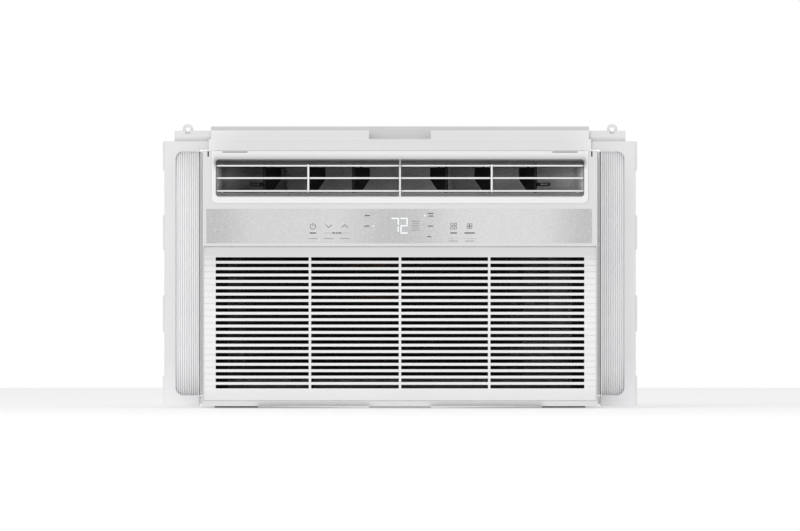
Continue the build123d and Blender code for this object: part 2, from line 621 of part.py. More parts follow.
with BuildPart() as bulkhead:
    slab(-pan_half + SHEET, pan_half - SHEET, -36.2, -35, PAN_Z + SHEET, CAB_TOP - SHEET)
    rod_y(FAN_X, -37, -34, FAN_Z, 12, Mode.SUBTRACT)
    rod_y(82, -37, -34, 225, 6, Mode.SUBTRACT)
    rod_y(210, -37, -34, 50, 4, Mode.SUBTRACT)
save(bulkhead.part, "bulkhead")


# ---------------------------------------------------------------- coils
def coil_core(x0, x1, y0, y1, z0, z1, plate):
    """A finned coil block between two tube plates."""
    slab(x0 + plate, x1 - plate, y0 + 1, y1 - 1, z0 + 2, z1 - 2)
    slab(x0, x0 + plate, y0, y1, z0, z1)
    slab(x1 - plate, x1, y0, y1, z0, z1)


def coil_bends(x, y_rows, z0, z1, pitch, reach, radius, out):
    """Return bends on one end of a coil: a row of U shaped tubes standing out by reach."""
    bends = []
    count = int((z1 - z0 - 10) // (2 * pitch))
    for y in y_rows:
        for index in range(count):
            low = z0 + 8 + index * 2 * pitch
            path = ((x, y, low), (x + out * reach, y, low), (x + out * reach, y, low + pitch), (x, y, low + pitch))
            bends.append(tube(path, pitch / 2 - 0.4, radius))
    return bends


EVAP = (-185.0, 131.0, -129.5, -103.5, 30.0, 244.0)
COND = (-221.0, 202.0, 158.0, 190.0, 24.0, 292.0)

with BuildPart() as evaporator_coil:
    coil_core(*EVAP, plate=1.5)
save(evaporator_coil.part, "evaporator_coil")
evaporator_tubes = Compound(coil_bends(EVAP[1], (-123.0, -111.0), EVAP[4], EVAP[5], 19.0, 14.0, 3.6, 1))
save(evaporator_tubes, "evaporator_tubes")

with BuildPart() as condenser_coil:
    coil_core(*COND, plate=1.5)
save(condenser_coil.part, "condenser_coil")
condenser_tubes = Compound(coil_bends(COND[1], (166.0, 182.0), COND[4], COND[5], 19.0, 14.0, 3.6, 1))
save(condenser_tubes, "condenser_tubes")

SHROUD_Y = 92.0
with BuildPart() as fan_shroud:
    slab(-pan_half + SHEET, pan_half - SHEET, SHROUD_Y, SHROUD_Y + 2, PAN_Z + SHEET, CAB_TOP - SHEET)
    rod_y(FAN_X, SHROUD_Y, SHROUD_Y + 30, FAN_Z, 121)
    rod_y(FAN_X, SHROUD_Y - 1, SHROUD_Y + 31, FAN_Z, 119, Mode.SUBTRACT)
    rod_y(214, SHROUD_Y - 1, SHROUD_Y + 3, 282, 6, Mode.SUBTRACT)
    rod_y(222, SHROUD_Y - 1, SHROUD_Y + 3, 50, 4, Mode.SUBTRACT)
save(fan_shroud.part, "fan_shroud")

# ---------------------------------------------------------------- fan motor, shaft and wheels
with BuildPart() as fan_motor:
    rod_y(FAN_X, -8, 46, FAN_Z, 44)
    rod_y(FAN_X, -14, -8, FAN_Z, 20)
    rod_y(FAN_X, 46, 52, FAN_Z, 20)
    rod_y(FAN_X, -15, 53, FAN_Z, 4.06, Mode.SUBTRACT)
    for angle in range(45, 360, 90):
        x = FAN_X + 50 * math.cos(math.radians(angle))
        z = FAN_Z + 50 * math.sin(math.radians(angle))
        rod_y(x, -35, 4, z, 4)
        rod_y(x, 0, 4, z, 9)
save(fan_motor.part, "fan_motor")

with BuildPart() as fan_shaft:
    rod_y(FAN_X, -88, 122, FAN_Z, 4)
save(fan_shaft.part, "fan_shaft")

with BuildPart() as blower_wheel:
    rod_y(FAN_X, -50, -48, FAN_Z, 70)
    rod_y(FAN_X, -70, -48, FAN_Z, 12)
    rod_y(FAN_X, -86, -84, FAN_Z, 70)
    rod_y(FAN_X, -87, -83, FAN_Z, 58, Mode.SUBTRACT)
    for index in range(30):
        angle = index * 12.0
        with Locations(Location((FAN_X, -67, FAN_Z), (0, -angle, 0)) * Location((64, 0, 0), (0, 30, 0))):
            Box(12, 36, 1.2)
    rod_y(FAN_X, -90, -46, FAN_Z, 4, Mode.SUBTRACT)
save(blower_wheel.part, "blower_wheel")

FAN_HUB_Y = 108.0
with BuildPart() as condenser_fan:
    for index in range(5):
        hub = Location((FAN_X, FAN_HUB_Y, FAN_Z), (0, index * 72.0, 0))
        sections = []
        for radius, chord, pitch in ((18.0, 34.0, 40.0), (65.0, 58.0, 26.0), (108.0, 70.0, 13.0)):
            section_plane = Plane(hub * Location((radius, 0, 0))).rotated((0, 90, 0))
            with BuildSketch(section_plane) as section:
                Rectangle(2.4, chord, rotation=90 + pitch)
            sections.append(section.sketch)
        loft(sections)
    rod_y(FAN_X, 96, 120, FAN_Z, 20)
    with BuildSketch(xz_plane(99)):
        with Locations((FAN_X, FAN_Z)):
            Circle(115)
            Circle(112.5, mode=Mode.SUBTRACT)
    extrude(amount=-18)
    rod_y(FAN_X, 90, 124, FAN_Z, 4, Mode.SUBTRACT)
save(condenser_fan.part, "condenser_fan")

# ---------------------------------------------------------------- refrigeration
GROMMET_SPOTS = [
    (COMP_X + 57 * math.cos(math.radians(a)), COMP_Y + 57 * math.sin(math.radians(a))) for a in (45, 165, 285)
]
with BuildPart() as compressor:
    rod_z(COMP_X, COMP_Y, 34, 190, COMP_R)
    fillet(compressor.edges().filter_by(GeomType.CIRCLE), radius=18)
    rod_z(COMP_X + 14, COMP_Y, 189, 200, 9)
    with BuildSketch(Plane.XY.offset(30)):
        for x, y in GROMMET_SPOTS:
            with Locations((x, y)):
                Circle(11)
        with Locations((COMP_X, COMP_Y)):
            Circle(50)
    extrude(amount=4.2)
    for x, y in GROMMET_SPOTS:
        rod_z(x, y, 28, 36, 7.05, Mode.SUBTRACT)
save(compressor.part, "compressor")

with BuildPart() as compressor_grommets:
    for x, y in GROMMET_SPOTS:
        rod_z(x, y, PAN_Z + SHEET, 30, 10)
        rod_z(x, y, 30, 34.2, 7)
        rod_z(x, y, 34.2, 37, 9)
        rod_z(x, y, PAN_Z, 38, 3.2, Mode.SUBTRACT)
save(compressor_grommets.part, "compressor_grommets")

with BuildPart() as compressor_nuts:
    for x, y in GROMMET_SPOTS:
        rod_z(x, y, PAN_Z + SHEET, 46, 3.2)
        with BuildSketch(Plane.XY.offset(37)):
            with Locations((x, y)):
                RegularPolygon(6, 6)
        extrude(amount=5)
save(compressor_nuts.part, "compressor_nuts")

ACC_X = COMP_X - COMP_R - 26
with BuildPart() as accumulator:
    rod_z(ACC_X, COMP_Y, 70, 180, 20)
    fillet(accumulator.edges().filter_by(GeomType.CIRCLE), radius=8)
    slab(ACC_X + 18, COMP_X - COMP_R, COMP_Y - 6, COMP_Y + 6, 118, 130)
save(accumulator.part, "accumulator")

suction_line = tube(
    ((ACC_X, COMP_Y, 180), (ACC_X, COMP_Y, 225), (ACC_X, -60, 225), (ACC_X, -60, 236), (155, -60, 236),
     (155, -117, 236), (132, -117, 236)), 5, 4.5)
save(suction_line, "suction_line")
discharge_line = tube(
    ((COMP_X - 20, COMP_Y, 190), (COMP_X - 20, COMP_Y, 240), (214, COMP_Y, 240), (214, COMP_Y, 282),
     (214, 166, 282), (203, 166, 282)), 5, 4.0)
save(discharge_line, "discharge_line")
capillary_tube = tube(
    ((203, 174, 36), (222, 174, 36), (222, 174, 50), (222, -10, 50), (210, -10, 50), (210, -95, 50),
     (152, -95, 50), (152, -117, 50), (132, -117, 50)), 4, 1.6)
save(capillary_tube, "capillary_tube")

with BuildPart() as control_box:
    slab(178, 226, -130, -62, 66, 190)
    slab(180, 224, -128, -64, 68, 188, Mode.SUBTRACT)
save(control_box.part, "control_box")

with BuildPart() as main_board:
    slab(183, 184.6, -124, -68, 74, 182)
    slab(184.6, 206, -120, -98, 140, 168)
    slab(184.6, 196, -92, -76, 84, 104)
save(main_board.part, "main_board")

with BuildPart() as run_capacitor:
    with BuildSketch(Plane.XY.offset(80)):
        with Locations((210, -96)):
            SlotOverall(50, 22, rotation=90)
    extrude(amount=50)
save(run_capacitor.part, "run_capacitor")
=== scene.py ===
"""Window air conditioner: finishes, fine detail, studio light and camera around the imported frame."""

import logging
import math
from dataclasses import dataclass, field
from enum import Enum
from functools import partial

import bmesh
import bpy
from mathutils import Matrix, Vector


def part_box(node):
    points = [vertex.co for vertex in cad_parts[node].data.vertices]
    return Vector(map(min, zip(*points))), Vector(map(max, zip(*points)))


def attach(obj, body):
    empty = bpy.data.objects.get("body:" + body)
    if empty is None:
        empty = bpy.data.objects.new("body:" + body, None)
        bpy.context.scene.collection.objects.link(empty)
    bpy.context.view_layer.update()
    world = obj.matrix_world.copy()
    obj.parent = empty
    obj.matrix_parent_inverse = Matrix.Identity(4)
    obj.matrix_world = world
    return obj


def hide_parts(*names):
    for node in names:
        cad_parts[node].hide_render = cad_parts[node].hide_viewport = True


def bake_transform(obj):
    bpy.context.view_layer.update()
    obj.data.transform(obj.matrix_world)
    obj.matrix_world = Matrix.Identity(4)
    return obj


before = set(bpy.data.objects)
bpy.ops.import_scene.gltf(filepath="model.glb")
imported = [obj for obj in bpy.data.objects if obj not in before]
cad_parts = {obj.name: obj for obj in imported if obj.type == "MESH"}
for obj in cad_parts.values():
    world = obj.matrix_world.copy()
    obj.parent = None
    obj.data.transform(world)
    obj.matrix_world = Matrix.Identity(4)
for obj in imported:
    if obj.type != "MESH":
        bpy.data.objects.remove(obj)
LOG = logging.getLogger("window_air_conditioner")
MM = 0.001
HOUSING = "housing"
SIDES = ("left", "right")
FLOAT, COLOR, VECTOR = "NodeSocketFloat", "NodeSocketColor", "NodeSocketVector"

Color = tuple[float, float, float]
Point = tuple[float, float, float]
Flat = tuple[float, float]
Socket = bpy.types.NodeSocket
Sockets = bpy.types.bpy_prop_collection
Results = tuple[Socket, ...]


# ------------------------------------------------------------------ node helpers
class NodeSheet:
    """Adds and links nodes in one node tree."""

    def __init__(self, tree: bpy.types.NodeTree) -> None:
        """Keep the tree that the nodes go into."""
        self.tree = tree

    def feed(self, target: Socket, value: object) -> None:
        """Feed an input.

        Args:
            target: the input.
            value: a socket to link, or a number or colour to set.
        """
        if isinstance(value, Socket):
            self.tree.links.new(value, target)
        else:
            target.default_value = (*value, 1.0) if isinstance(value, tuple) else value

    def add(self, kind: str, **values: object) -> bpy.types.Node:
        """Add a node.

        Args:
            kind: the node's Blender type name.
            values: node properties by name, then inputs by in_NAME with _ for spaces, or by in_NUMBER.
                An input takes a socket, a number or a colour.

        Returns:
            The new node.
        """
        node = self.tree.nodes.new(kind)
        for key, value in values.items():
            if key.startswith("in_"):
                name = key[3:].replace("_", " ")
                self.feed(node.inputs[int(name) if name.isdigit() else name], value)
            else:
                setattr(node, key, value)
        return node

    def math(self, operation: str, first: object, second: object = 0.0, clamp: bool = False) -> Socket:
        """Combine two sockets or numbers."""
        return self.add("ShaderNodeMath", operation=operation, use_clamp=clamp, in_0=first,
                        in_1=second).outputs[0]

    def spread(self, value: Socket, low: float, high: float, start: float = 0.0, end: float = 1.0,
               kind: str = "SMOOTHSTEP") -> Socket:
        """Map a value from start..end to low..high, held at the ends."""
        return self.add("ShaderNodeMapRange", interpolation_type=kind, in_Value=value, in_From_Min=start,
                        in_From_Max=end, in_To_Min=low, in_To_Max=high).outputs["Result"]

    def mix(self, factor: object, first: object, second: object, blend: str = "MIX") -> Socket:
        """Mix two colours; the factor is how much of the second."""
        return self.add("ShaderNodeMix", data_type="RGBA", blend_type=blend, in_0=factor, in_6=first,
                        in_7=second).outputs[2]

    def place(self) -> Socket:
        """The place on the object, in its own coordinates."""
        return self.add("ShaderNodeTexCoord").outputs["Object"]

    def axes(self) -> Sockets:
        """The place on the object as X, Y and Z."""
        return self.add("ShaderNodeSeparateXYZ", in_0=self.place()).outputs

    def noise(self, place: Socket, scale: object, detail: float, roughness: float = 0.5) -> Socket:
        """Noise between 0 and 1."""
        return self.add("ShaderNodeTexNoise", in_Vector=place, in_Scale=scale, in_Detail=detail,
                        in_Roughness=roughness).outputs["Fac"]

    def effect(self, kind: type["Effect"], **values: object) -> Sockets:
        """Place a shared effect with its inputs by name, and return its outputs."""
        return self.add("ShaderNodeGroup", node_tree=kind.tree(),
                        **{f"in_{key}": value for key, value in values.items()}).outputs


class Effect:
    """A shared shader node group, built once, at its first use."""

    name: str
    inputs: dict[str, float | Color]
    outputs: dict[str, str]
    made: bpy.types.NodeTree | None = None

    @classmethod
    def tree(cls) -> bpy.types.NodeTree:
        """Build the group's sockets and nodes, or return it if it is there.

        Returns:
            The group.
        """
        if cls.made is None:
            cls.made = bpy.data.node_groups.new(cls.name, "ShaderNodeTree")
            sheet = NodeSheet(cls.made)
            for label, default in cls.inputs.items():
                kind = COLOR if isinstance(default, tuple) else FLOAT
                sheet.feed(cls.made.interface.new_socket(label, in_out="INPUT", socket_type=kind), default)
            for label, kind in cls.outputs.items():
                cls.made.interface.new_socket(label, in_out="OUTPUT", socket_type=kind)
            results = cls.wire(sheet, sheet.add("NodeGroupInput").outputs)
            for target, result in zip(sheet.add("NodeGroupOutput").inputs, results):
                sheet.feed(target, result)
        return cls.made

    @classmethod
    def wire(cls, sheet: NodeSheet, source: Sockets) -> Results:
        """Add the effect's nodes, fed by the group's inputs, and return what each output carries."""
        raise NotImplementedError


class FineGrain(Effect):
    """Fine moulded or sprayed relief, as a height between 0 and 1."""

    name = "fine_grain"
    inputs = {"Scale": 900.0, "Coarse": 0.35}
    outputs = {"Height": FLOAT}
    broad_share = 0.13

    @classmethod
    def wire(cls, sheet: NodeSheet, source: Sockets) -> Results:
        """Blend a fine noise with a broad one."""
        place = sheet.place()
        fine = sheet.noise(place, source["Scale"], 4.0, 0.6)
        broad = sheet.noise(place, sheet.math("MULTIPLY", source["Scale"], cls.broad_share), 2.0)
        return (sheet.add("ShaderNodeMix", in_0=source["Coarse"], in_2=fine, in_3=broad).outputs[0],)


class Streaks(Effect):
    """Brushed or rolled streaks along X, as a height between 0 and 1."""

    name = "streaks"
    inputs = {"Scale": 1500.0, "Stretch": 0.02}
    outputs = {"Height": FLOAT}

    @classmethod
    def wire(cls, sheet: NodeSheet, source: Sockets) -> Results:
        """Stretch a noise along X."""
        axes = sheet.axes()
        drawn = sheet.add("ShaderNodeCombineXYZ", in_X=sheet.math("MULTIPLY", axes["X"], source["Stretch"]),
                          in_Y=axes["Y"], in_Z=axes["Z"])
        return (sheet.noise(drawn.outputs[0], source["Scale"], 5.0, 0.65),)


class FoamBeads(Effect):
    """Fused foam beads: a rounded height and a mask of the seams between beads."""

    name = "foam_beads"
    inputs = {"Scale": 260.0}
    outputs = {"Height": FLOAT, "Seam": FLOAT}
    dome = 0.3
    seam = 0.07

    @classmethod
    def wire(cls, sheet: NodeSheet, source: Sockets) -> Results:
        """Measure how far each place is from its cell's edge."""
        cells = sheet.add("ShaderNodeTexVoronoi", feature="DISTANCE_TO_EDGE", in_Vector=sheet.place(),
                          in_Scale=source["Scale"])
        inside = cells.outputs["Distance"]
        return sheet.spread(inside, 0.0, 1.0, 0.0, cls.dome), sheet.spread(inside, 1.0, 0.0, 0.0, cls.seam)


class MetalFlecks(Effect):
    """Metallic flecks: a random value per tiny cell and a mask of the few brightest, where glints are
    painted.
    """

    name = "metal_flecks"
    inputs = {"Scale": 2600.0}
    outputs = {"Value": FLOAT, "Painted_glint": FLOAT}
    dullest_painted_glint = 0.86

    @classmethod
    def wire(cls, sheet: NodeSheet, source: Sockets) -> Results:
        """Split each cell's random colour into two random values."""
        cells = sheet.add("ShaderNodeTexVoronoi", in_Vector=sheet.place(), in_Scale=source["Scale"])
        split = sheet.add("ShaderNodeSeparateColor", in_0=cells.outputs["Color"])
        return split.outputs[0], sheet.spread(split.outputs[1], 0.0, 1.0, cls.dullest_painted_glint)


class ToneDrift(Effect):
    """A slow change between two close colours."""

    name = "tone_drift"
    inputs = {"Color": (0.8, 0.8, 0.8), "Other": (0.7, 0.7, 0.7), "Scale": 9.0}
    outputs = {"Color": COLOR}
    change = (0.35, 0.7)

    @classmethod
    def wire(cls, sheet: NodeSheet, source: Sockets) -> Results:
        """Mix the colours by a slow noise."""
        share = sheet.spread(sheet.noise(sheet.place(), source["Scale"], 3.0), 0.0, 1.0, *cls.change)
        return (sheet.mix(share, source["Color"], source["Other"]),)


class SettledDust(Effect):
    """Dust that gathers in corners, as a mask."""

    name = "settled_dust"
    inputs = {"Distance": 0.006, "Amount": 0.4}
    outputs = {"Mask": FLOAT}
    corner = (0.25, 0.95)
    patch_scale = 60.0
    patch_edge = (0.3, 0.7)
    thinnest = 0.35

    @classmethod
    def wire(cls, sheet: NodeSheet, source: Sockets) -> Results:
        """Find the corners, and break the dust up with a noise."""
        open_sky = sheet.add("ShaderNodeAmbientOcclusion", samples=6, in_Distance=source["Distance"])
        shade = sheet.spread(open_sky.outputs["AO"], 1.0, 0.0, *cls.corner)
        patches = sheet.noise(sheet.place(), cls.patch_scale, 5.0)
        patches = sheet.spread(patches, cls.thinnest, 1.0, *cls.patch_edge)
        broken = sheet.math("MULTIPLY", shade, patches)
        return (sheet.math("MULTIPLY", broken, source["Amount"], clamp=True),)


class SoftEdges(Effect):
    """Softened edges: a rounded normal, and a worn mask along the edges."""

    name = "soft_edges"
    inputs = {"Radius": 0.0006, "Wear": 0.0}
    outputs = {"Normal": VECTOR, "Mask": FLOAT}
    sharp = (0.75, 0.995)
    patch_scale = 140.0
    patch_edge = (0.42, 0.62)

    @classmethod
    def wire(cls, sheet: NodeSheet, source: Sockets) -> Results:
        """Compare the rounded normal with the flat one, and break the wear up with a noise."""
        rounded = sheet.add("ShaderNodeBevel", samples=4, in_Radius=source["Radius"]).outputs["Normal"]
        flat = sheet.add("ShaderNodeNewGeometry").outputs["Normal"]
        facing = sheet.add("ShaderNodeVectorMath", operation="DOT_PRODUCT", in_0=rounded, in_1=flat)
        bend = sheet.spread(facing.outputs["Value"], 1.0, 0.0, *cls.sharp)
        patches = sheet.spread(sheet.noise(sheet.place(), cls.patch_scale, 6.0), 0.0, 1.0, *cls.patch_edge)
        broken = sheet.math("MULTIPLY", bend, patches)
        return rounded, sheet.math("MULTIPLY", broken, source["Wear"], clamp=True)


MATERIALS: dict[str, bpy.types.Material] = {}


class Relief(Enum):
    """The kinds of fine surface relief."""

    MOULDED = "moulded"
    SPRAYED = "sprayed"
    BRUSHED = "brushed"
    BEADED = "beaded"


@dataclass(frozen=True)
class Finish:
    """One finish of a solid surface, from its colours to its fine relief."""

    name: str
    color: Color
    other: Color
    roughness: float = 0.5
    uneven: float = 0.06
    metallic: float = 0.0
    coat: float = 0.0
    specular: float = 0.5
    relief: Relief = Relief.MOULDED
    scale: float = 900.0
    depth: float = 2e-5
    drift_scale: float = 9.0
    edge: float = 0.0005
    wear: float = 0.0
    wear_color: Color = (0.6, 0.6, 0.6)
    dust: float = 0.0
    dust_color: Color = (0.42, 0.4, 0.37)
    seam_share: float = 0.35
    seam_shade: float = 0.6

    def material(self) -> bpy.types.Material:
        """The material, made at its first use."""
        if self.name not in MATERIALS:
            MATERIALS[self.name] = self.make()
        return MATERIALS[self.name]

    def make(self) -> bpy.types.Material:
        """Make the material's nodes.

        Returns:
            The material.
        """
        made = bpy.data.materials.new(f"{self.name}_finish")
        made.use_nodes = True
        made.diffuse_color = (*self.color, 1.0)
        made.node_tree.nodes.clear()
        sheet = NodeSheet(made.node_tree)
        height = self.micro(sheet)
        low, high = self.roughness - self.uneven, self.roughness + self.uneven
        bump = sheet.add("ShaderNodeBump", in_Strength=1.0, in_Distance=self.depth, in_Height=height,
                         in_Normal=sheet.effect(SoftEdges, Radius=self.edge)["Normal"])
        shader = sheet.add("ShaderNodeBsdfPrincipled", in_Base_Color=self.paint(sheet),
                           in_Metallic=self.metallic, in_Specular_IOR_Level=self.specular,
                           in_Roughness=sheet.spread(height, low, high, 0.3, 0.7),
                           in_Coat_Weight=self.coat, in_Coat_Roughness=0.12, in_Normal=bump.outputs[0])
        sheet.add("ShaderNodeOutputMaterial", in_Surface=shader.outputs[0])
        return made

    def micro(self, sheet: NodeSheet) -> Socket:
        """The fine relief.

        Args:
            sheet: the material's node sheet.

        Returns:
            A height socket between 0 and 1.
        """
        if self.relief is Relief.BRUSHED:
            return sheet.effect(Streaks, Scale=self.scale)["Height"]
        if self.relief is Relief.BEADED:
            return sheet.effect(FoamBeads, Scale=self.scale)["Height"]
        coarse = 0.75 if self.relief is Relief.SPRAYED else 0.35
        return sheet.effect(FineGrain, Scale=self.scale, Coarse=coarse)["Height"]

    def tone(self, sheet: NodeSheet) -> Socket:
        """The bare colour with its slow drift."""
        return sheet.effect(ToneDrift, Color=self.color, Other=self.other, Scale=self.drift_scale)["Color"]

    def paint(self, sheet: NodeSheet) -> Socket:
        """The colour with its seams, worn edges and dust.

        Args:
            sheet: the material's node sheet.

        Returns:
            The colour's socket.
        """
        tone = self.tone(sheet)
        if self.relief is Relief.BEADED:
            seam = sheet.effect(FoamBeads, Scale=self.scale)["Seam"]
            share = sheet.math("MULTIPLY", seam, self.seam_share)
            tone = sheet.mix(share, tone, self.dimmed(self.seam_shade))
        if self.wear > 0:
            mask = sheet.effect(SoftEdges, Radius=self.edge * 1.6, Wear=self.wear)["Mask"]
            tone = sheet.mix(mask, tone, self.wear_color)
        if self.dust > 0:
            tone = sheet.mix(sheet.effect(SettledDust, Amount=self.dust)["Mask"], tone, self.dust_color)
        return tone

    def dimmed(self, share: float) -> Color:
        """The finish's colour, dimmed to a share."""
        return tuple(c * share for c in self.color)


@dataclass(frozen=True)
class PaintedShade:
    """A run of painted shade and painted light along one axis.

    Each stop is (place in millimetres, shade). With a reach of (full, none), the shades fade out
    sideways between those two distances from the middle.
    """

    axis: str
    stops: tuple[Flat, ...]
    reach: Flat | None = None


@dataclass(frozen=True)
class PaintedShading(Finish):
    """A finish with painted shade and light along the axes, as from a raised face to a sunken one."""

    painted_shades: tuple[PaintedShade, ...] = ()

    def tone(self, sheet: NodeSheet) -> Socket:
        """The bare colour, multiplied by the painted shade and painted light at each place.

        Args:
            sheet: the material's node sheet.

        Returns:
            The colour's socket.
        """
        tone = super().tone(sheet)
        axes = sheet.axes()
        # Each run multiplies the colour by painted shade and painted light along one axis.
        for shade in self.painted_shades:
            first, last = shade.stops[0][0], shade.stops[-1][0]
            along = sheet.spread(axes[shade.axis], 0.0, 1.0, first * MM, last * MM, kind="LINEAR")
            ramp = sheet.add("ShaderNodeValToRGB", in_0=along)
            elements = ramp.color_ramp.elements
            while len(elements) < len(shade.stops):
                elements.new(0.5)
            for element, (spot, level) in zip(elements, shade.stops):
                element.position = (spot - first) / (last - first)
                element.color = (level, level, level, 1.0)
            share = 1.0
            if shade.reach:
                full, none = shade.reach
                share = sheet.spread(sheet.math("ABSOLUTE", axes["X"]), 1.0, 0.0, full * MM, none * MM)
            tone = sheet.mix(share, tone, ramp.outputs[0], blend="MULTIPLY")
        return tone


@dataclass(frozen=True)
class SilverFilm(Finish):
    """The panel's silver skin: flecks with painted glints, a soft pool of painted shade round the display, a
    painted highlight to its right, and painted shade at the ends.
    """

    painted_shade_color: Color = (0.45, 0.45, 0.455)
    painted_highlight_color: Color = (0.74, 0.74, 0.75)
    painted_end_shade_color: Color = (0.42, 0.42, 0.425)
    painted_glint_color: Color = (0.97, 0.97, 0.98)
    display_x: float = -0.006
    painted_shade_reach: float = 0.085
    painted_highlight_run: Flat = (0.02, 0.13)
    painted_end_shade_run: Flat = (0.165, 0.225)
    fleck_scale: float = 2200.0
    fleck_shade: float = 0.62

    def paint(self, sheet: NodeSheet) -> Socket:
        """The silver colour with its flecks, painted glints, painted shade and painted highlight.

        Args:
            sheet: the material's node sheet.

        Returns:
            The colour's socket.
        """
        x = sheet.axes()["X"]
        from_display = sheet.math("ABSOLUTE", sheet.math("ADD", x, -self.display_x))
        flecks = sheet.effect(MetalFlecks, Scale=self.fleck_scale)
        tone = self.tone(sheet)
        # Painted shade round the display and at the ends, a painted highlight, random fleck tones, and
        # painted glints.
        for mask, share, color in (
                (sheet.spread(from_display, 1.0, 0.0, 0.0, self.painted_shade_reach), 0.8, self.painted_shade_color),
                (sheet.spread(x, 0.0, 1.0, *self.painted_highlight_run), 0.4, self.painted_highlight_color),
                (sheet.spread(sheet.math("ABSOLUTE", x), 0.0, 1.0, *self.painted_end_shade_run), 0.75, self.painted_end_shade_color),
                (sheet.spread(flecks["Value"], 0.0, 1.0), 0.32, self.dimmed(self.fleck_shade)),
                (flecks["Painted_glint"], 0.55, self.painted_glint_color)):
            tone = sheet.mix(sheet.math("MULTIPLY", mask, share), tone, color)
        return tone


@dataclass(frozen=True)
class Lit(Finish):
    """A surface that glows, a little unevenly."""

    glow: Color = (0.95, 0.98, 1.0)
    strength: float = 1.6
    dim_share: float = 0.9
    glow_scale: float = 260.0

    def make(self) -> bpy.types.Material:
        """Make the material's nodes and let it glow.

        Returns:
            The material.
        """
        made = super().make()
        sheet = NodeSheet(made.node_tree)
        shader = next(n for n in made.node_tree.nodes if n.type == "BSDF_PRINCIPLED")
        dim = tuple(c * self.dim_share for c in self.glow)
        light = sheet.effect(ToneDrift, Color=self.glow, Other=dim, Scale=self.glow_scale)["Color"]
        sheet.feed(shader.inputs["Emission Strength"], self.strength)
        sheet.feed(shader.inputs["Emission Color"], light)
        return made


# Painted shade: darker on the sunken face behind the raised bezel, and on the outlet's ceiling and the bezel
# just above it.
CASE_WHITE = PaintedShading(
    "case_white", (0.81, 0.81, 0.81), (0.795, 0.797, 0.8), 0.42, 0.05, scale=1500.0, depth=1.2e-5,
    edge=0.0006, dust=0.12,
    painted_shades=(PaintedShade("Y", ((-200.0, 1.0), (-199.3, 0.96), (-198.5, 0.85), (-197.5, 0.9), (-190.0, 1.0))),
            PaintedShade("Z", ((284.0, 1.0), (292.0, 0.4), (294.5, 0.38), (297.5, 0.6), (299.0, 0.72),
                (301.0, 0.84), (303.0, 0.94), (307.0, 0.97)), reach=(220.0, 225.0))))
# Painted shade: a little darker towards the bottom of the inlet grille, and much darker along its top band.
GRILLE_WHITE = PaintedShading(
    "grille_white", (0.84, 0.84, 0.84), (0.825, 0.827, 0.83), 0.4, 0.05, scale=1500.0, depth=1.2e-5,
    edge=0.0004, dust=0.05,
    painted_shades=(PaintedShade("Z", ((9.0, 0.9), (19.0, 0.92), (24.0, 0.98), (110.0, 1.0), (160.0, 0.95), (178.0, 0.86),
                (183.0, 0.77), (193.0, 0.76))),))
VANE_WHITE = Finish(
    "vane_white", (0.86, 0.86, 0.86), (0.84, 0.84, 0.845), 0.38, 0.05, scale=1600.0, depth=1e-5,
    edge=0.0003, dust=0.14)
# Painted light: lighter towards the bottom of the curtain frames and strips.
CURTAIN_WHITE = PaintedShading(
    "curtain_white", (0.77, 0.77, 0.78), (0.75, 0.752, 0.763), 0.46, 0.06, scale=1200.0, depth=1.8e-5,
    edge=0.0007, dust=0.12,
    painted_shades=(PaintedShade("Z", ((0.0, 1.12), (15.0, 1.08), (60.0, 1.0), (330.0, 1.0))),))
BELLOWS_WHITE = Finish(
    "bellows_vinyl", (0.93, 0.93, 0.94), (0.905, 0.905, 0.92), 0.5, 0.08, scale=2200.0, depth=1e-5,
    edge=5e-5, drift_scale=25.0)
# A lighter copy of the cabinet's steel white, with painted shade towards the guides' back wall and painted
# light low on the front wall.
GUIDE_WHITE = PaintedShading(
    "guide_white", (0.87, 0.87, 0.873), (0.855, 0.856, 0.86), 0.4, 0.05, relief=Relief.SPRAYED,
    scale=1400.0, depth=1e-5, edge=0.0004, dust=0.1,
    painted_shades=(PaintedShade("Y", ((-124.0, 1.0), (-110.0, 0.95), (-99.0, 0.8))),
            PaintedShade("Z", ((307.0, 1.15), (316.0, 1.06), (324.0, 1.0), (337.0, 1.02)))))
STEEL_WHITE = Finish(
    "steel_white", (0.74, 0.745, 0.745), (0.71, 0.712, 0.715), 0.36, 0.05, relief=Relief.SPRAYED,
    scale=1400.0, wear=0.35, wear_color=(0.5, 0.5, 0.5), dust=0.25)
ZINC = Finish(
    "zinc_steel", (0.56, 0.57, 0.58), (0.42, 0.43, 0.44), 0.38, 0.12, metallic=0.9, relief=Relief.BRUSHED,
    scale=700.0, depth=1e-5, drift_scale=45.0, wear=0.3, wear_color=(0.75, 0.75, 0.75), dust=0.4)
BLADE_BLACK = Finish(
    "blade_black", (0.006, 0.006, 0.0065), (0.009, 0.009, 0.0095), 0.5, 0.08, scale=1300.0, depth=1.5e-5,
    edge=0.0004, wear=0.15, wear_color=(0.03, 0.03, 0.03), specular=0.25)
FAN_BLACK = Finish(
    "fan_black", (0.03, 0.03, 0.033), (0.045, 0.045, 0.05), 0.45, 0.08, scale=1300.0, wear=0.4,
    wear_color=(0.12, 0.12, 0.12), dust=0.5)
SHROUD_GREY = Finish(
    "shroud_grey", (0.10, 0.10, 0.11), (0.13, 0.13, 0.14), 0.55, 0.08, depth=3e-5, dust=0.5)
WHEEL_GREY = Finish("wheel_grey", (0.13, 0.14, 0.15), (0.17, 0.18, 0.19), 0.5, 0.08, dust=0.45)
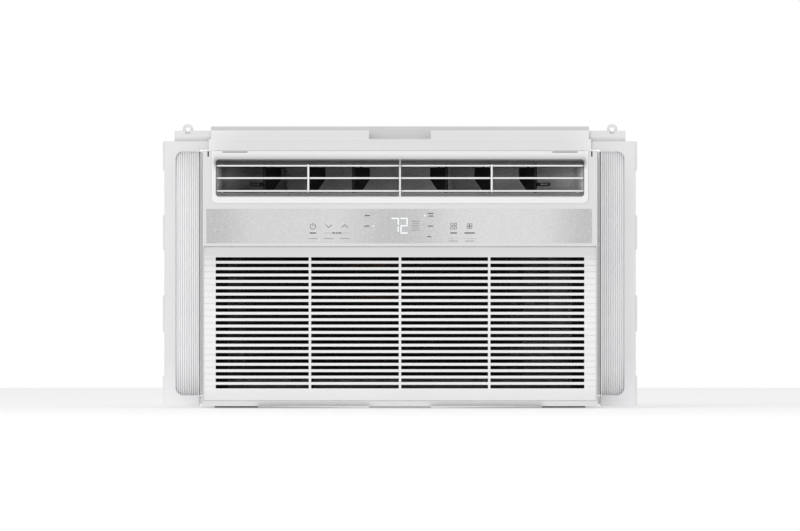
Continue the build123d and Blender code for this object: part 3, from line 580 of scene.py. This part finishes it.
# Painted light and shade in the duct: darker to the left, lighter to the right, a dark band just inside each
# end, and darker towards the top.
FOAM = PaintedShading(
    "duct_foam", (0.78, 0.78, 0.785), (0.74, 0.74, 0.745), 0.75, 0.08, relief=Relief.BEADED, scale=260.0,
    depth=0.0002, drift_scale=20.0,
    painted_shades=(PaintedShade("X", ((-219.0, 0.95), (-216.0, 0.5), (-212.0, 0.25), (-204.0, 0.52), (-120.0, 0.72),
                (20.0, 0.9), (100.0, 1.15), (204.0, 1.15), (212.0, 0.7), (216.0, 0.85), (219.0, 1.1))),
            PaintedShade("Z", ((262.0, 1.0), (285.0, 0.9), (292.0, 0.7)))))
# Near-black, for painted shade and painted shadow in slots, gaps and behind the ends of the grille's slots.
PAINTED_SHADOW_BLACK = Finish(
    "painted_shadow_black", (0.007, 0.007, 0.007), (0.011, 0.011, 0.011), 0.9, 0.05, relief=Relief.SPRAYED,
    scale=1800.0, depth=0.0001, edge=0.0001, specular=0.1)
RUBBER = Finish(
    "dark_rubber", (0.02, 0.02, 0.021), (0.035, 0.035, 0.036), 0.72, 0.1, scale=700.0, depth=6e-5,
    wear=0.4, wear_color=(0.09, 0.09, 0.09), dust=0.3)
FIN_METAL = Finish(
    "fin_aluminium", (0.62, 0.63, 0.64), (0.5, 0.51, 0.52), 0.34, 0.1, metallic=0.95,
    relief=Relief.BRUSHED, scale=500.0, depth=1e-5, drift_scale=30.0, dust=0.35)
# Near-black evaporator fins: painted shade behind the inlet grille's slots.
SHADE_DARKENED_FIN = Finish(
    "coated_fin", (0.07, 0.08, 0.09), (0.05, 0.057, 0.065), 0.5, 0.1, metallic=0.3, relief=Relief.BRUSHED,
    scale=500.0, depth=1e-5, drift_scale=30.0)
COPPER = Finish(
    "copper_tube", (0.62, 0.29, 0.17), (0.4, 0.17, 0.1), 0.3, 0.12, metallic=1.0, relief=Relief.SPRAYED,
    scale=500.0, drift_scale=70.0, wear=0.25, wear_color=(0.85, 0.5, 0.35), dust=0.3)
ENAMEL = Finish(
    "black_enamel", (0.014, 0.014, 0.015), (0.022, 0.022, 0.024), 0.28, 0.07, coat=0.4,
    relief=Relief.SPRAYED, scale=420.0, depth=5e-5, wear=0.4, wear_color=(0.2, 0.2, 0.2), dust=0.3)
BRIGHT = Finish(
    "bright_zinc", (0.66, 0.66, 0.64), (0.55, 0.54, 0.48), 0.26, 0.08, metallic=1.0, scale=1800.0,
    depth=1e-5, drift_scale=160.0, wear=0.3, wear_color=(0.85, 0.85, 0.85), dust=0.2)
CAN = Finish(
    "drawn_can", (0.72, 0.72, 0.74), (0.62, 0.62, 0.64), 0.24, 0.07, metallic=1.0, relief=Relief.BRUSHED,
    scale=900.0, depth=1e-5, dust=0.2)
BOARD = Finish(
    "lacquered_board", (0.02, 0.13, 0.05), (0.03, 0.17, 0.07), 0.3, 0.08, coat=0.5, scale=1500.0,
    drift_scale=90.0, dust=0.2)
SWITCH = Finish("switch_black", (0.02, 0.02, 0.02), (0.03, 0.03, 0.03), 0.4, 0.06, dust=0.1)
FILTER_GREY = Finish(
    "filter_plastic", (0.007, 0.007, 0.0075), (0.011, 0.011, 0.012), 0.55, 0.08, wear=0.2,
    wear_color=(0.03, 0.03, 0.03), specular=0.2)
# A black net, made darker still as painted shade behind the inlet grille's slots.
NET_GREY = Finish(
    "filter_net", (0.005, 0.005, 0.0055), (0.008, 0.008, 0.009), 0.7, 0.08, scale=2500.0, edge=0.0001,
    specular=0.15)
INK = Finish(
    "panel_ink", (0.10, 0.10, 0.105), (0.12, 0.12, 0.125), 0.5, 0.06, scale=3000.0, depth=5e-6, edge=2e-5)
PALE_INK = Finish(
    "panel_pale_ink", (0.3, 0.3, 0.305), (0.34, 0.34, 0.345), 0.5, 0.06, scale=3000.0, depth=5e-6,
    edge=2e-5)
SILVER = SilverFilm(
    "silver_film", (0.63, 0.63, 0.635), (0.6, 0.6, 0.605), 0.42, 0.05, metallic=0.35,
    relief=Relief.BRUSHED, scale=1900.0, depth=6e-6, edge=0.0)
# Dark evaporator tubes: painted shade behind the inlet grille's slots.
SHADE_DARKENED_TUBE = Finish(
    "shade_darkened_tube", (0.1, 0.1, 0.105), (0.07, 0.07, 0.073), 0.4, 0.1, metallic=0.6, relief=Relief.SPRAYED,
    scale=500.0, drift_scale=70.0, dust=0.1)
LAMP = Lit("lamp_lens", (0.35, 0.36, 0.37), (0.33, 0.34, 0.35), 0.3, 0.05, edge=5e-5, strength=0.7)
FLOOR = Lit(
    "studio_floor", (0.9, 0.9, 0.9), (0.89, 0.89, 0.892), 0.85, 0.03, scale=60.0, depth=0.0, edge=0.0,
    glow=(1.0, 1.0, 1.0), strength=0.24)


# ------------------------------------------------------------------ mesh helpers
@dataclass
class MeshSketch:
    """Collects corners and faces in millimetres, then makes one Blender mesh object in metres."""

    name: str
    corners: list[Point] = field(default_factory=list)
    faces: list[tuple[int, ...]] = field(default_factory=list)

    def ring(self, points: list[Point]) -> list[int]:
        """Add corners and return their numbers."""
        start = len(self.corners)
        self.corners.extend(points)
        return list(range(start, start + len(points)))

    def prism(self, base: list[Point], top: list[Point]) -> None:
        """Add a closed solid between two outlines.

        Args:
            base: one outline's points.
            top: the other outline's points, as many as base.
        """
        a, b, count = self.ring(base), self.ring(top), len(base)
        self.faces += [tuple(a[::-1]), tuple(b)]
        self.faces += [(a[i], a[(i + 1) % count], b[(i + 1) % count], b[i]) for i in range(count)]

    def box(self, low: Point, high: Point) -> None:
        """Add a closed box between its lowest and its highest corner."""
        (x0, y0, z0), (x1, y1, z1) = low, high
        self.prism(*([(x0, y0, z), (x1, y0, z), (x1, y1, z), (x0, y1, z)] for z in (z0, z1)))

    def loft(self, rows: list[list[Point]]) -> None:
        """Add an open sheet through rows of points, as many in each."""
        rings = [self.ring(row) for row in rows]
        for a, b in zip(rings, rings[1:]):
            self.faces += [(a[i], a[i + 1], b[i + 1], b[i]) for i in range(len(a) - 1)]

    def ribbon(self, left: list[Flat], right: list[Flat], y0: float, y1: float,
               closed: bool = False) -> None:
        """Add a thin closed strip that lies in the XZ plane between two edge lines.

        Args:
            left: points of one edge, as (x, z).
            right: points of the other edge, as many as left.
            y0: its room side.
            y1: its rear side.
            closed: join the last pair to the first.
        """
        a, b, c, d = (self.ring([(x, y, z) for x, z in line]) for y in (y0, y1) for line in (left, right))
        count = len(left)
        for i in range(count if closed else count - 1):
            j = (i + 1) % count
            self.faces += [(a[i], a[j], b[j], b[i]), (c[i], d[i], d[j], c[j]),
                           (a[i], c[i], c[j], a[j]), (b[i], b[j], d[j], d[i])]
        if not closed:
            self.faces += [(a[0], b[0], d[0], c[0]), (a[-1], c[-1], d[-1], b[-1])]

    def build(self, finish: Finish, smooth: bool = False, sheet: float = 0.0) -> bpy.types.Object:
        """Make the object.

        Args:
            finish: its finish.
            smooth: shade it smooth.
            sheet: thicken it to this many millimetres, evenly to both sides.

        Returns:
            The new object.
        """
        mesh = bpy.data.meshes.new(self.name)
        mesh.from_pydata([(x * MM, y * MM, z * MM) for x, y, z in self.corners], [], self.faces)
        work = bmesh.new()
        work.from_mesh(mesh)
        bmesh.ops.recalc_face_normals(work, faces=work.faces)
        work.to_mesh(mesh)
        work.free()
        mesh.materials.append(finish.material())
        if smooth:
            mesh.shade_smooth()
        made = bpy.data.objects.new(self.name, mesh)
        bpy.context.scene.collection.objects.link(made)
        if sheet:
            shell = made.modifiers.new("sheet", "SOLIDIFY")
            shell.thickness = sheet * MM
            shell.offset = 0.0
            with bpy.context.temp_override(object=made, active_object=made):
                bpy.ops.object.modifier_apply(modifier=shell.name)
        LOG.info("made %s: %d faces", self.name, len(made.data.polygons))
        return made


def dress(finish: Finish, *nodes: str) -> None:
    """Give CAD nodes a finish.

    Args:
        finish: the finish.
        nodes: the nodes' names.
    """
    for name in nodes:
        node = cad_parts[name]
        node.data.materials.clear()
        node.data.materials.append(finish.material())
        for face in node.data.polygons:
            face.material_index = 0
        LOG.info("dressed %s in %s", name, finish.name)


def corners_mm(node: str) -> tuple[Vector, Vector]:
    """A CAD node's lowest and highest corner at rest, in millimetres."""
    low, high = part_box(node)
    return low / MM, high / MM


def round_line(cx: float, cy: float, radius: float, count: int) -> list[Flat]:
    """Evenly spaced points on a circle, from +x."""
    turns = [2 * math.pi * i / count for i in range(count)]
    return [(cx + radius * math.cos(t), cy + radius * math.sin(t)) for t in turns]


# ------------------------------------------------------------------ the front
@dataclass
class FrontCase:
    """The front moulding, the inlet grille, and a near-black ring of painted shade round the intake window.

    The ring's outer edge and the window are each (half width, bottom, top). A liner is a near-black block of
    painted shadow: (near, far, bottom, top, front, back), with near and far measured sideways from the
    middle.
    """

    shadow_outer: Point = (221.5, 11.5, 188.0)
    window: Point = (205.6, 20.4, 181.6)
    shadow_depth: Flat = (-185.7, -184.5)
    liners: tuple[tuple[float, ...], ...] = (
        (228.25, 229.75, 300.1, 306.3, -197.9, -196.8),
        (182.1, 211.9, 305.05, 305.85, -199.3, -197.2),
        (0.0, 221.0, 307.0, 307.5, -150.0, -138.0),
        (236.2, 237.25, 16.0, 305.0, -112.4, -111.1),
    )
    lip_half: float = 233.8
    upper_lip: tuple[Flat, ...] = ((-197.9, 192.52), (-197.9, 193.15), (-196.2, 193.15), (-196.2, 192.95),
                                   (-197.2, 192.74))
    lower_lip: tuple[Flat, ...] = ((-198.35, 8.75), (-198.35, 9.05), (-196.6, 9.05), (-196.6, 8.75))
    drip_line: tuple[Flat, ...] = ((37.0, 2.05), (37.0, 0.3), (170.0, 1.7), (170.0, 2.05))
    drip_depth: Flat = (-199.2, -191.0)

    def build(self) -> None:
        """Dress the mouldings and lay a near-black ring of painted shade on the wall behind the inlet
        grille.
        """
        dress(CASE_WHITE, "front_grille")
        dress(GRILLE_WHITE, "inlet_grille")
        # A near-black ring and liners: painted shade and painted shadow in slots and gaps.
        sketch = MeshSketch("intake_seal")
        outer, inner = self.frame_line(*self.shadow_outer), self.frame_line(*self.window)
        sketch.ribbon(outer, inner, *self.shadow_depth, closed=True)
        self.line_slots(sketch)
        made = sketch.build(PAINTED_SHADOW_BLACK)
        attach(made, HOUSING)
        self.close_gaps()
        self.hang_lips()

    def close_gaps(self) -> None:
        """Back the hairlines above and below the inlet grille with lips of the case's own plastic.

        The upper lip keeps outside the round top edge of the grille, so the grille turns clear of it.
        """
        sketch = MeshSketch("grille_gap_lips")
        for line in (self.upper_lip, self.lower_lip):
            sketch.prism(*([(x, y, z) for y, z in line] for x in (-self.lip_half, self.lip_half)))
        made = sketch.build(CASE_WHITE)
        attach(made, HOUSING)

    def hang_lips(self) -> None:
        """Make the two drip lips under the case, deepest towards the middle."""
        sketch = MeshSketch("case_drip_lips")
        for side in (-1, 1):
            sketch.prism(*([(side * x, y, z) for x, z in self.drip_line] for y in self.drip_depth))
        made = sketch.build(CASE_WHITE)
        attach(made, HOUSING)

    def line_slots(self, sketch: MeshSketch) -> None:
        """Add near-black liners of painted shadow in the corner slots, the release slits and the gaps round
        the guides.
        """
        for side in (-1, 1):
            for near, far, bottom, top, front, back in self.liners:
                x0, x1 = sorted((side * near, side * far))
                sketch.box((x0, front, bottom), (x1, back, top))

    def frame_line(self, half: float, bottom: float, top: float) -> list[Flat]:
        """The four corners of an upright rectangle about the middle."""
        return [(-half, bottom), (half, bottom), (half, top), (-half, top)]


@dataclass
class PanelPrint:
    """Marks printed on the silver panel and on its keys: icons, and plain bars in place of words."""

    rise: float = 0.05
    sink: float = 0.02
    stroke: float = 0.75
    thin_stroke: float = 0.62
    icon_z: float = 217.0
    label_z: float = 208.8
    foot_z: float = 202.3
    low_foot_z: float = 199.2
    arc_steps: int = 28
    power_radius: float = 3.3
    chevron: Flat = (3.6, 1.8)
    icon_step: float = 2.1
    tile_half: float = 1.45
    tile_bend: float = 0.6
    petal_radius: float = 1.5
    hub_radius: float = 0.55
    front: float = 0.0
    labels: dict[str, tuple[tuple[float, float, float], ...]] = field(default_factory=lambda: {
        "power": ((-107.8, -100.2, 1.5),),
        "cooler": ((-90.5, -82.2, 0.3), (-81.0, -77.3, 1.5)),
        "warmer": ((-73.7, -70.0, 1.5), (-68.8, -60.5, 0.3)),
        "mode": ((60.0, 68.0, 1.5),),
        "fan": ((76.8, 89.2, 1.5),),
    })
    lamp_bars: tuple[tuple[float, ...], ...] = (
        (-39.0, 229.6, 6.5, 1.3), (-39.5, 217.0, 6.0, 1.3), (36.5, 232.2, 7.0, 1.3),
        (36.8, 229.0, 6.0, 1.3), (36.5, 217.0, 6.0, 1.3), (35.0, 204.5, 4.5, 1.3),
    )

    def stroke_path(self, sketch: MeshSketch, points: list[Flat], width: float,
                    closed: bool = False) -> None:
        """Add a stroke of even width along points.

        Args:
            sketch: the mesh being drawn.
            points: the centre line, as (x, z).
            width: the stroke's width.
            closed: join the ends.
        """
        left: list[Flat] = []
        right: list[Flat] = []
        count = len(points)
        for i, (x, z) in enumerate(points):
            before = points[(i - 1) % count] if closed or i > 0 else points[i]
            after = points[(i + 1) % count] if closed or i < count - 1 else points[i]
            run = Vector((after[0] - before[0], after[1] - before[1])).normalized()
            first = Vector((x - before[0], z - before[1]))
            half = width / 2
            if first.length > 0 and (closed or 0 < i < count - 1):
                half /= max(0.5, abs(run.dot(first.normalized())))
            left.append((x - run.y * half, z + run.x * half))
            right.append((x + run.y * half, z - run.x * half))
        sketch.ribbon(left, right, self.front - self.rise, self.front + self.sink, closed)

    def arc(self, cx: float, cz: float, radius: float, start: float, end: float) -> list[Flat]:
        """Points along an arc.

        Args:
            cx: centre x.
            cz: centre z.
            radius: the arc's radius.
            start: first angle in degrees, from +x towards +z.
            end: last angle.

        Returns:
            The points.
        """
        steps = max(4, int(self.arc_steps * abs(end - start) / 360))
        angles = [math.radians(start + (end - start) * i / steps) for i in range(steps + 1)]
        return [(cx + radius * math.cos(a), cz + radius * math.sin(a)) for a in angles]

    def bar(self, sketch: MeshSketch, x: float, z: float, width: float, height: float) -> None:
        """Add a plain bar centred at x, z."""
        self.stroke_path(sketch, [(x - width / 2, z), (x + width / 2, z)], height)

    def circle(self, sketch: MeshSketch, x: float, z: float, radius: float, width: float) -> None:
        """Add a ring centred at x, z."""
        self.stroke_path(sketch, self.arc(x, z, radius, 0, 360)[:-1], width, closed=True)

    def icon_power(self, sketch: MeshSketch, x: float) -> None:
        """A broken ring with an upright stroke."""
        self.stroke_path(sketch, self.arc(x, self.icon_z - 0.3, self.power_radius, 120, 420), self.stroke)
        self.stroke_path(sketch, [(x, self.icon_z - 0.2), (x, self.icon_z + 4.0)], self.stroke)

    def icon_chevron(self, sketch: MeshSketch, x: float, way: int) -> None:
        """A chevron that points up (1) or down (-1)."""
        wide, rise = self.chevron[0], way * self.chevron[1]
        self.stroke_path(sketch, [(x - wide, self.icon_z - rise), (x, self.icon_z + rise),
                                  (x + wide, self.icon_z - rise)], self.stroke)

    def icon_mode(self, sketch: MeshSketch, x: float) -> None:
        """Four small rounded squares."""
        flat = self.tile_half - self.tile_bend
        for dx in (-self.icon_step, self.icon_step):
            for dz in (-self.icon_step, self.icon_step):
                path: list[Flat] = []
                for sx, sz, start in ((1, 1, 0), (-1, 1, 90), (-1, -1, 180), (1, -1, 270)):
                    path += self.arc(x + dx + sx * flat, self.icon_z + dz + sz * flat, self.tile_bend, start,
                                     start + 90)
                self.stroke_path(sketch, path, self.thin_stroke, closed=True)

    def icon_fan(self, sketch: MeshSketch, x: float) -> None:
        """A fan with four petals round a hub."""
        for turn in range(4):
            angle = math.radians(45 + 90 * turn)
            dx, dz = self.icon_step * math.cos(angle), self.icon_step * math.sin(angle)
            self.circle(sketch, x + dx, self.icon_z + dz, self.petal_radius, self.thin_stroke)
        self.circle(sketch, x, self.icon_z, self.hub_radius, 0.5)

    def build(self) -> None:
        """Print every key and the panel."""
        icons = {"power": self.icon_power, "cooler": partial(self.icon_chevron, way=-1),
                 "warmer": partial(self.icon_chevron, way=1), "mode": self.icon_mode, "fan": self.icon_fan}
        panel = MeshSketch("panel_marks")
        labels = MeshSketch("panel_labels")
        for key, icon in icons.items():
            low, high = corners_mm(f"key_{key}")
            self.front = low.y
            x = (low.x + high.x) / 2
            mark = MeshSketch(f"key_{key}_mark")
            icon(mark, x)
            for start, end, width in self.labels[key]:
                self.stroke_path(mark, [(start, self.label_z), (end, self.label_z)], width)
            made = mark.build(INK)
            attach(made, f"key_{key}_body")
            self.bar(labels, x, self.foot_z if x < 0 else self.low_foot_z, 11.0, 0.9)
        self.bar(panel, -75.5, self.label_z, 2.2, 1.5)
        for x0, x1 in ((57.0, 71.0), (75.5, 90.5)):
            self.bar(labels, (x0 + x1) / 2, self.foot_z, x1 - x0, 0.3)
        for bar in self.lamp_bars:
            self.bar(panel, *bar)
        for row in range(5):
            self.bar(labels, 18.5, 212.2 + row * 2.6, 10.0 - (row % 2) * 2.5, 1.0)
        for sketch, finish in ((panel, INK), (labels, PALE_INK)):
            made = sketch.build(finish)
            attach(made, HOUSING)


@dataclass
class ControlPanel:
    """The silver panel, its keys, its lit digits and lamps, and the board behind."""

    keys: tuple[str, ...] = ("power", "cooler", "warmer", "mode", "fan")
    lip_near: float = 0.005
    lip_far: float = 0.198
    flange: float = 1.0
    lip_deep: float = 0.6

    def build(self) -> None:
        """Dress the panel and print it."""
        dress(SILVER, "control_panel", *(f"key_{key}" for key in self.keys))
        dress(LAMP, "display_lamps")
        dress(BOARD, "display_board")
        dress(SWITCH, "key_switches")
        self.seal_keys()
        PanelPrint().build()

    def seal_keys(self) -> None:
        """Fill the hairline round each key's cap with a thin silver lip, level with the surface."""
        sketch = MeshSketch("key_lips")
        for key in self.keys:
            low, high = corners_mm(f"key_{key}")
            rings = []
            for gap in (self.lip_far, self.lip_near):
                grow = gap - self.flange
                x0, x1, z0, z1 = low.x - grow, high.x + grow, low.z - grow, high.z + grow
                rings.append([(x0, z0), (x1, z0), (x1, z1), (x0, z1)])
            sketch.ribbon(rings[0], rings[1], low.y, low.y + self.lip_deep, closed=True)
        made = sketch.build(SILVER)
        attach(made, HOUSING)


@dataclass
class AirOutlet:
    """The vanes, their tie ribs, and the two groups of upright blades."""

    spots: tuple[str, ...] = ("inner", "middle", "outer")

    def build(self) -> None:
        """Dress the moving louvres."""
        dress(VANE_WHITE, "vane_bottom", "vane_middle", "vane_top", "vane_tie_ribs")
        for side in SIDES:
            dress(BLADE_BLACK, f"blade_link_{side}", *(f"blade_{side}_{spot}" for spot in self.spots))


# ------------------------------------------------------------------ window fitting
@dataclass
class Bellows:
    """A folded side curtain that stretches between the cabinet and its frame."""

    side: str
    pleats: int = 10
    thickness: float = 0.2
    fold_share: float = 0.44
    corner: float = 9.6
    inset: float = 0.3
    rows: int = 6
    steps: int = 8

    def fold_line(self, low: Vector, high: Vector) -> list[Flat]:
        """The sheet's fold line in plan, from the cabinet outwards, as (x, y).

        Args:
            low: the bellows' lowest corner.
            high: the bellows' highest corner.

        Returns:
            The points: a round fold in front, a slanted wall, a round fold behind, and so on.
        """
        inner, outer = (low.x, high.x) if self.side == "right" else (high.x, low.x)
        inner += math.copysign(self.thickness, outer)
        outer -= math.copysign(self.thickness, outer)
        pitch = (outer - inner) / self.pleats
        half = abs(pitch) * self.fold_share
        front, back = low.y + half + self.thickness, high.y - half - self.thickness
        folds = [(pleat + place, y, bulge) for pleat in range(self.pleats)
                 for place, y, bulge in ((0.5, front, -half), (1.0, back, half))]
        points: list[Flat] = [(inner, front)]
        for place, y, bulge in folds[:-1]:
            for step in range(self.steps + 1):
                turn = math.pi * step / self.steps
                points.append((inner + pitch * place - math.copysign(half, pitch) * math.cos(turn),
                               y + bulge * math.sin(turn)))
        points.append((outer, front))
        return points

    def build(self) -> None:
        """Make the pleated sheet between its two ends."""
        node = f"bellows_{self.side}"
        low, high = corners_mm(node)
        start, end = (low.x, high.x) if self.side == "right" else (high.x, low.x)
        columns: list[list[Point]] = []
        for x, y in self.fold_line(low, high):
            past = self.corner - abs(end - x)
            cut = self.corner - math.sqrt(max(0.0, self.corner**2 - past**2)) if past > 0 else 0.0
            z0, z1 = low.z + self.inset + cut, high.z - self.inset - cut
            columns.append([(x, y, z0 + (z1 - z0) * r / self.rows) for r in range(self.rows + 1)])
        sketch = MeshSketch(f"{node}_pleats")
        sketch.loft(columns)
        made = sketch.build(BELLOWS_WHITE, smooth=True, sheet=self.thickness)
        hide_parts(node)
        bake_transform(made)


@dataclass
class WindowKit:
    """The guides, the curtain frames with their bellows, and the strips that hold the bellows."""

    def build(self) -> None:
        """Dress the frames and make the bellows."""
        dress(CURTAIN_WHITE, "bellows_strips", *(f"curtain_{side}" for side in SIDES))
        dress(GUIDE_WHITE, "upper_guide", "lower_guide")
        for side in SIDES:
            Bellows(side).build()


# ------------------------------------------------------------------ cabinet and machinery
@dataclass
class Cabinet:
    """The steel wrap with its pressed side louvres, the base pan and what stands on the sill."""

    wall: float = 232.0
    slot_rows: tuple[float, ...] = tuple(62.0 + 10.0 * row for row in range(20))
    hood_front: float = 3.0
    hood_back: float = 85.0
    hood_reach: float = 2.6
    hood_rise: float = 4.6
    hood_drop: float = 1.4
    hood_steps: int = 16
    hood_power: int = 8
    hood_sheet: float = 0.6

    def press_hoods(self) -> None:
        """Make the half-round hoods over the slots in both side walls."""
        sketch = MeshSketch("cabinet_louvre_hoods")
        root = self.wall + self.hood_sheet / 2
        shares = [step / self.hood_steps for step in range(self.hood_steps + 1)]
        profile = [(self.hood_front + (self.hood_back - self.hood_front) * share,
                    self.hood_reach * (1.0 - abs(2 * share - 1) ** self.hood_power)) for share in shares]
        for side in (-1, 1):
            for z in self.slot_rows:
                sketch.loft([[(side * (root + out * reach), y, z + rise) for y, reach in profile]
                             for out, rise in ((0.0, self.hood_rise), (0.75, 0.65 * self.hood_rise),
                                               (1.0, self.hood_drop))])
        made = sketch.build(STEEL_WHITE, smooth=True, sheet=self.hood_sheet)
        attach(made, HOUSING)

    def build(self) -> None:
        """Dress the cabinet."""
        dress(STEEL_WHITE, "cabinet")
        self.press_hoods()
        dress(ZINC, "base_pan", "bulkhead", "control_box")
        dress(RUBBER, "front_pads", "rear_feet", "drain_plug", "compressor_grommets")
        dress(BRIGHT, "screws", "compressor_nuts")


@dataclass
class Coil:
    """A finned coil: thin fins on straight tubes between two tube plates."""

    node: str
    rows: tuple[float, ...]
    first_tube: float
    tube_pitch: float
    tube_count: int
    fins: Finish = FIN_METAL
    fin_pitch: float = 1.9
    fin_thick: float = 0.16
    plate: float = 1.5
    tube_radius: float = 3.6
    tube_sides: int = 12

    def build(self) -> None:
        """Make the fins, plates and straight tubes in the place of the solid block."""
        low, high = corners_mm(self.node)
        pack = MeshSketch(f"{self.node}_fins")
        count = int((high.x - low.x - 2 * self.plate) / self.fin_pitch)
        for i in range(count):
            x = low.x + self.plate + self.fin_pitch * (i + 0.5)
            pack.box((x, low.y + 1, low.z + 2), (x + self.fin_thick, high.y - 1, high.z - 2))
        for x in (low.x, high.x - self.plate):
            pack.box((x, low.y, low.z), (x + self.plate, high.y, high.z))
        made = pack.build(self.fins)
        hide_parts(self.node)
        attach(made, HOUSING)
        tubes = MeshSketch(f"{self.node}_straight_tubes")
        for y in self.rows:
            for i in range(self.tube_count):
                z = self.first_tube + i * self.tube_pitch
                line = round_line(y, z, self.tube_radius, self.tube_sides)
                tubes.prism(*([(x, v, w) for v, w in line] for x in (low.x, high.x)))
        made = tubes.build(COPPER, smooth=True)
        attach(made, HOUSING)


@dataclass
class DuctFlare:
    """The foam walls that widen the air duct from the blower's outlet to the louvres."""

    thickness: float = 0.8
    bottom: float = 257.15
    top: float = 291.25
    mouth: tuple[Flat, ...] = ((218.7, -179.0), (215.7, -175.2), (212.6, -171.5), (211.0, -163.0),
                               (207.5, -153.0))
    left_tail: tuple[Flat, ...] = ((202.0, -142.0), (192.0, -125.0), (176.0, -100.0), (156.0, -70.0),
                                   (137.0, -46.0))
    right_tail: tuple[Flat, ...] = ((202.0, -143.0), (188.0, -128.0), (160.0, -106.0), (118.0, -80.0),
                                    (62.0, -47.0))

    def build(self) -> None:
        """Make both walls."""
        for side, way, tail in zip(SIDES, (-1, 1), (self.left_tail, self.right_tail)):
            sketch = MeshSketch(f"duct_flare_{side}")
            sketch.loft([[(way * x, y, self.bottom), (way * x, y, self.top)] for x, y in self.mouth + tail])
            made = sketch.build(FOAM, smooth=True, sheet=self.thickness)
            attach(made, HOUSING)


@dataclass
class FilterNet:
    """The filter's woven net: threads both ways in each of its windows."""

    pitch: float = 1.25
    thread: float = 0.5

    def build(self) -> None:
        """Weave the net across the filter frame's windows."""
        low, high = corners_mm("filter_mesh")
        net = MeshSketch("filter_net_threads")
        middle = (low.y + high.y) / 2
        for i in range(int((high.x - low.x) / self.pitch)):
            x = low.x + self.pitch * (i + 0.5)
            net.box((x, low.y, low.z), (x + self.thread, middle - 0.05, high.z))
        for i in range(int((high.z - low.z) / self.pitch)):
            z = low.z + self.pitch * (i + 0.5)
            net.box((low.x, middle + 0.05, z), (high.x, high.y, z + self.thread))
        made = net.build(NET_GREY)
        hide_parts("filter_mesh")
        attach(made, "filter_body")


@dataclass
class Machinery:
    """Everything inside the cabinet: air path, coils, motor, compressor, pipes and control gear."""

    def build(self) -> None:
        """Dress the machinery and make the fins and the filter's net."""
        dress(FOAM, "outlet_duct", "blower_scroll")
        DuctFlare().build()
        dress(SHROUD_GREY, "fan_shroud")
        dress(FAN_BLACK, "condenser_fan")
        dress(WHEEL_GREY, "blower_wheel")
        dress(ZINC, "fan_motor", "fan_shaft")
        dress(ENAMEL, "compressor", "accumulator")
        dress(COPPER, "condenser_tubes", "suction_line", "discharge_line", "capillary_tube")
        dress(SHADE_DARKENED_TUBE, "evaporator_tubes")
        dress(BOARD, "main_board")
        dress(CAN, "run_capacitor")
        dress(FILTER_GREY, "filter_frame")
        Coil("evaporator_coil", rows=(-123.0, -111.0), first_tube=38.0, tube_pitch=19.0, tube_count=11,
             fins=SHADE_DARKENED_FIN).build()
        Coil("condenser_coil", rows=(166.0, 182.0), first_tube=32.0, tube_pitch=19.0, tube_count=13).build()
        FilterNet().build()


# ------------------------------------------------------------------ studio
@dataclass(frozen=True)
class Lamp:
    """A large square soft lamp that points at the part."""

    name: str
    spot: Point
    size: float
    power: float
    aim: Point = (0.0, 0.0, 0.15)

    def build(self) -> None:
        """Hang the lamp, unseen by the camera."""
        data = bpy.data.lights.new(self.name, "AREA")
        data.shape = "SQUARE"
        data.size = self.size
        data.energy = self.power
        lamp = bpy.data.objects.new(self.name, data)
        lamp.location = self.spot
        lamp.rotation_euler = (Vector(self.aim) - Vector(self.spot)).to_track_quat("-Z", "Y").to_euler()
        lamp.visible_camera = False
        bpy.context.scene.collection.objects.link(lamp)


@dataclass
class Studio:
    """A round pale floor, a plain white sky, two soft lamps and the long-lens camera in front."""

    distance: float = 26.0
    span: float = 0.955
    eye: float = 0.170
    front: float = -0.2
    sensor: float = 36.0
    floor_radius: float = 4200.0
    floor_sides: int = 96
    floor_z: float = -0.5
    sky: float = 0.69
    lamps: tuple[Lamp, ...] = (Lamp("key_lamp", (-2.0, -5.2, 2.2), 3.2, 77.0),
                               Lamp("fill_lamp", (2.2, -5.2, 1.2), 3.0, 24.0))

    def build(self) -> None:
        """Set up the stage."""
        self.stage()
        self.light()
        self.camera()

    def stage(self) -> None:
        """Lay the floor."""
        sketch = MeshSketch("studio_floor")
        line = round_line(0.0, 0.0, self.floor_radius, self.floor_sides)
        sketch.faces.append(tuple(sketch.ring([(x, y, self.floor_z) for x, y in line])))
        sketch.build(FLOOR)

    def light(self) -> None:
        """Set an even sky that shows as plain white, and hang the lamps."""
        world = bpy.data.worlds.new("studio_world")
        world.use_nodes = True
        sheet = NodeSheet(world.node_tree)
        back = world.node_tree.nodes["Background"]
        seen = sheet.add("ShaderNodeLightPath").outputs["Is Camera Ray"]
        sheet.feed(back.inputs["Color"], (1.0, 1.0, 1.0))
        sheet.feed(back.inputs["Strength"], sheet.spread(seen, self.sky, 1.0))
        bpy.context.scene.world = world
        for lamp in self.lamps:
            lamp.build()

    def camera(self) -> None:
        """Set a level camera far in front of the part."""
        data = bpy.data.cameras.new("front_camera")
        data.sensor_width = self.sensor
        data.lens = self.sensor * self.distance / self.span
        data.clip_end = 100.0
        camera = bpy.data.objects.new("front_camera", data)
        camera.location = (0.0, self.front - self.distance, self.eye)
        camera.rotation_euler = (math.radians(90), 0.0, 0.0)
        bpy.context.scene.collection.objects.link(camera)
        bpy.context.scene.camera = camera
        bpy.context.scene.view_settings.view_transform = "Standard"


def main() -> None:
    """Build every part of the look in order."""
    logging.basicConfig(level=logging.INFO, format="%(name)s: %(message)s")
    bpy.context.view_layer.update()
    for part in (FrontCase(), ControlPanel(), AirOutlet(), WindowKit(), Cabinet(), Machinery(), Studio()):
        LOG.info("building %s", type(part).__name__)
        part.build()


if __name__ == "__main__":
    main()
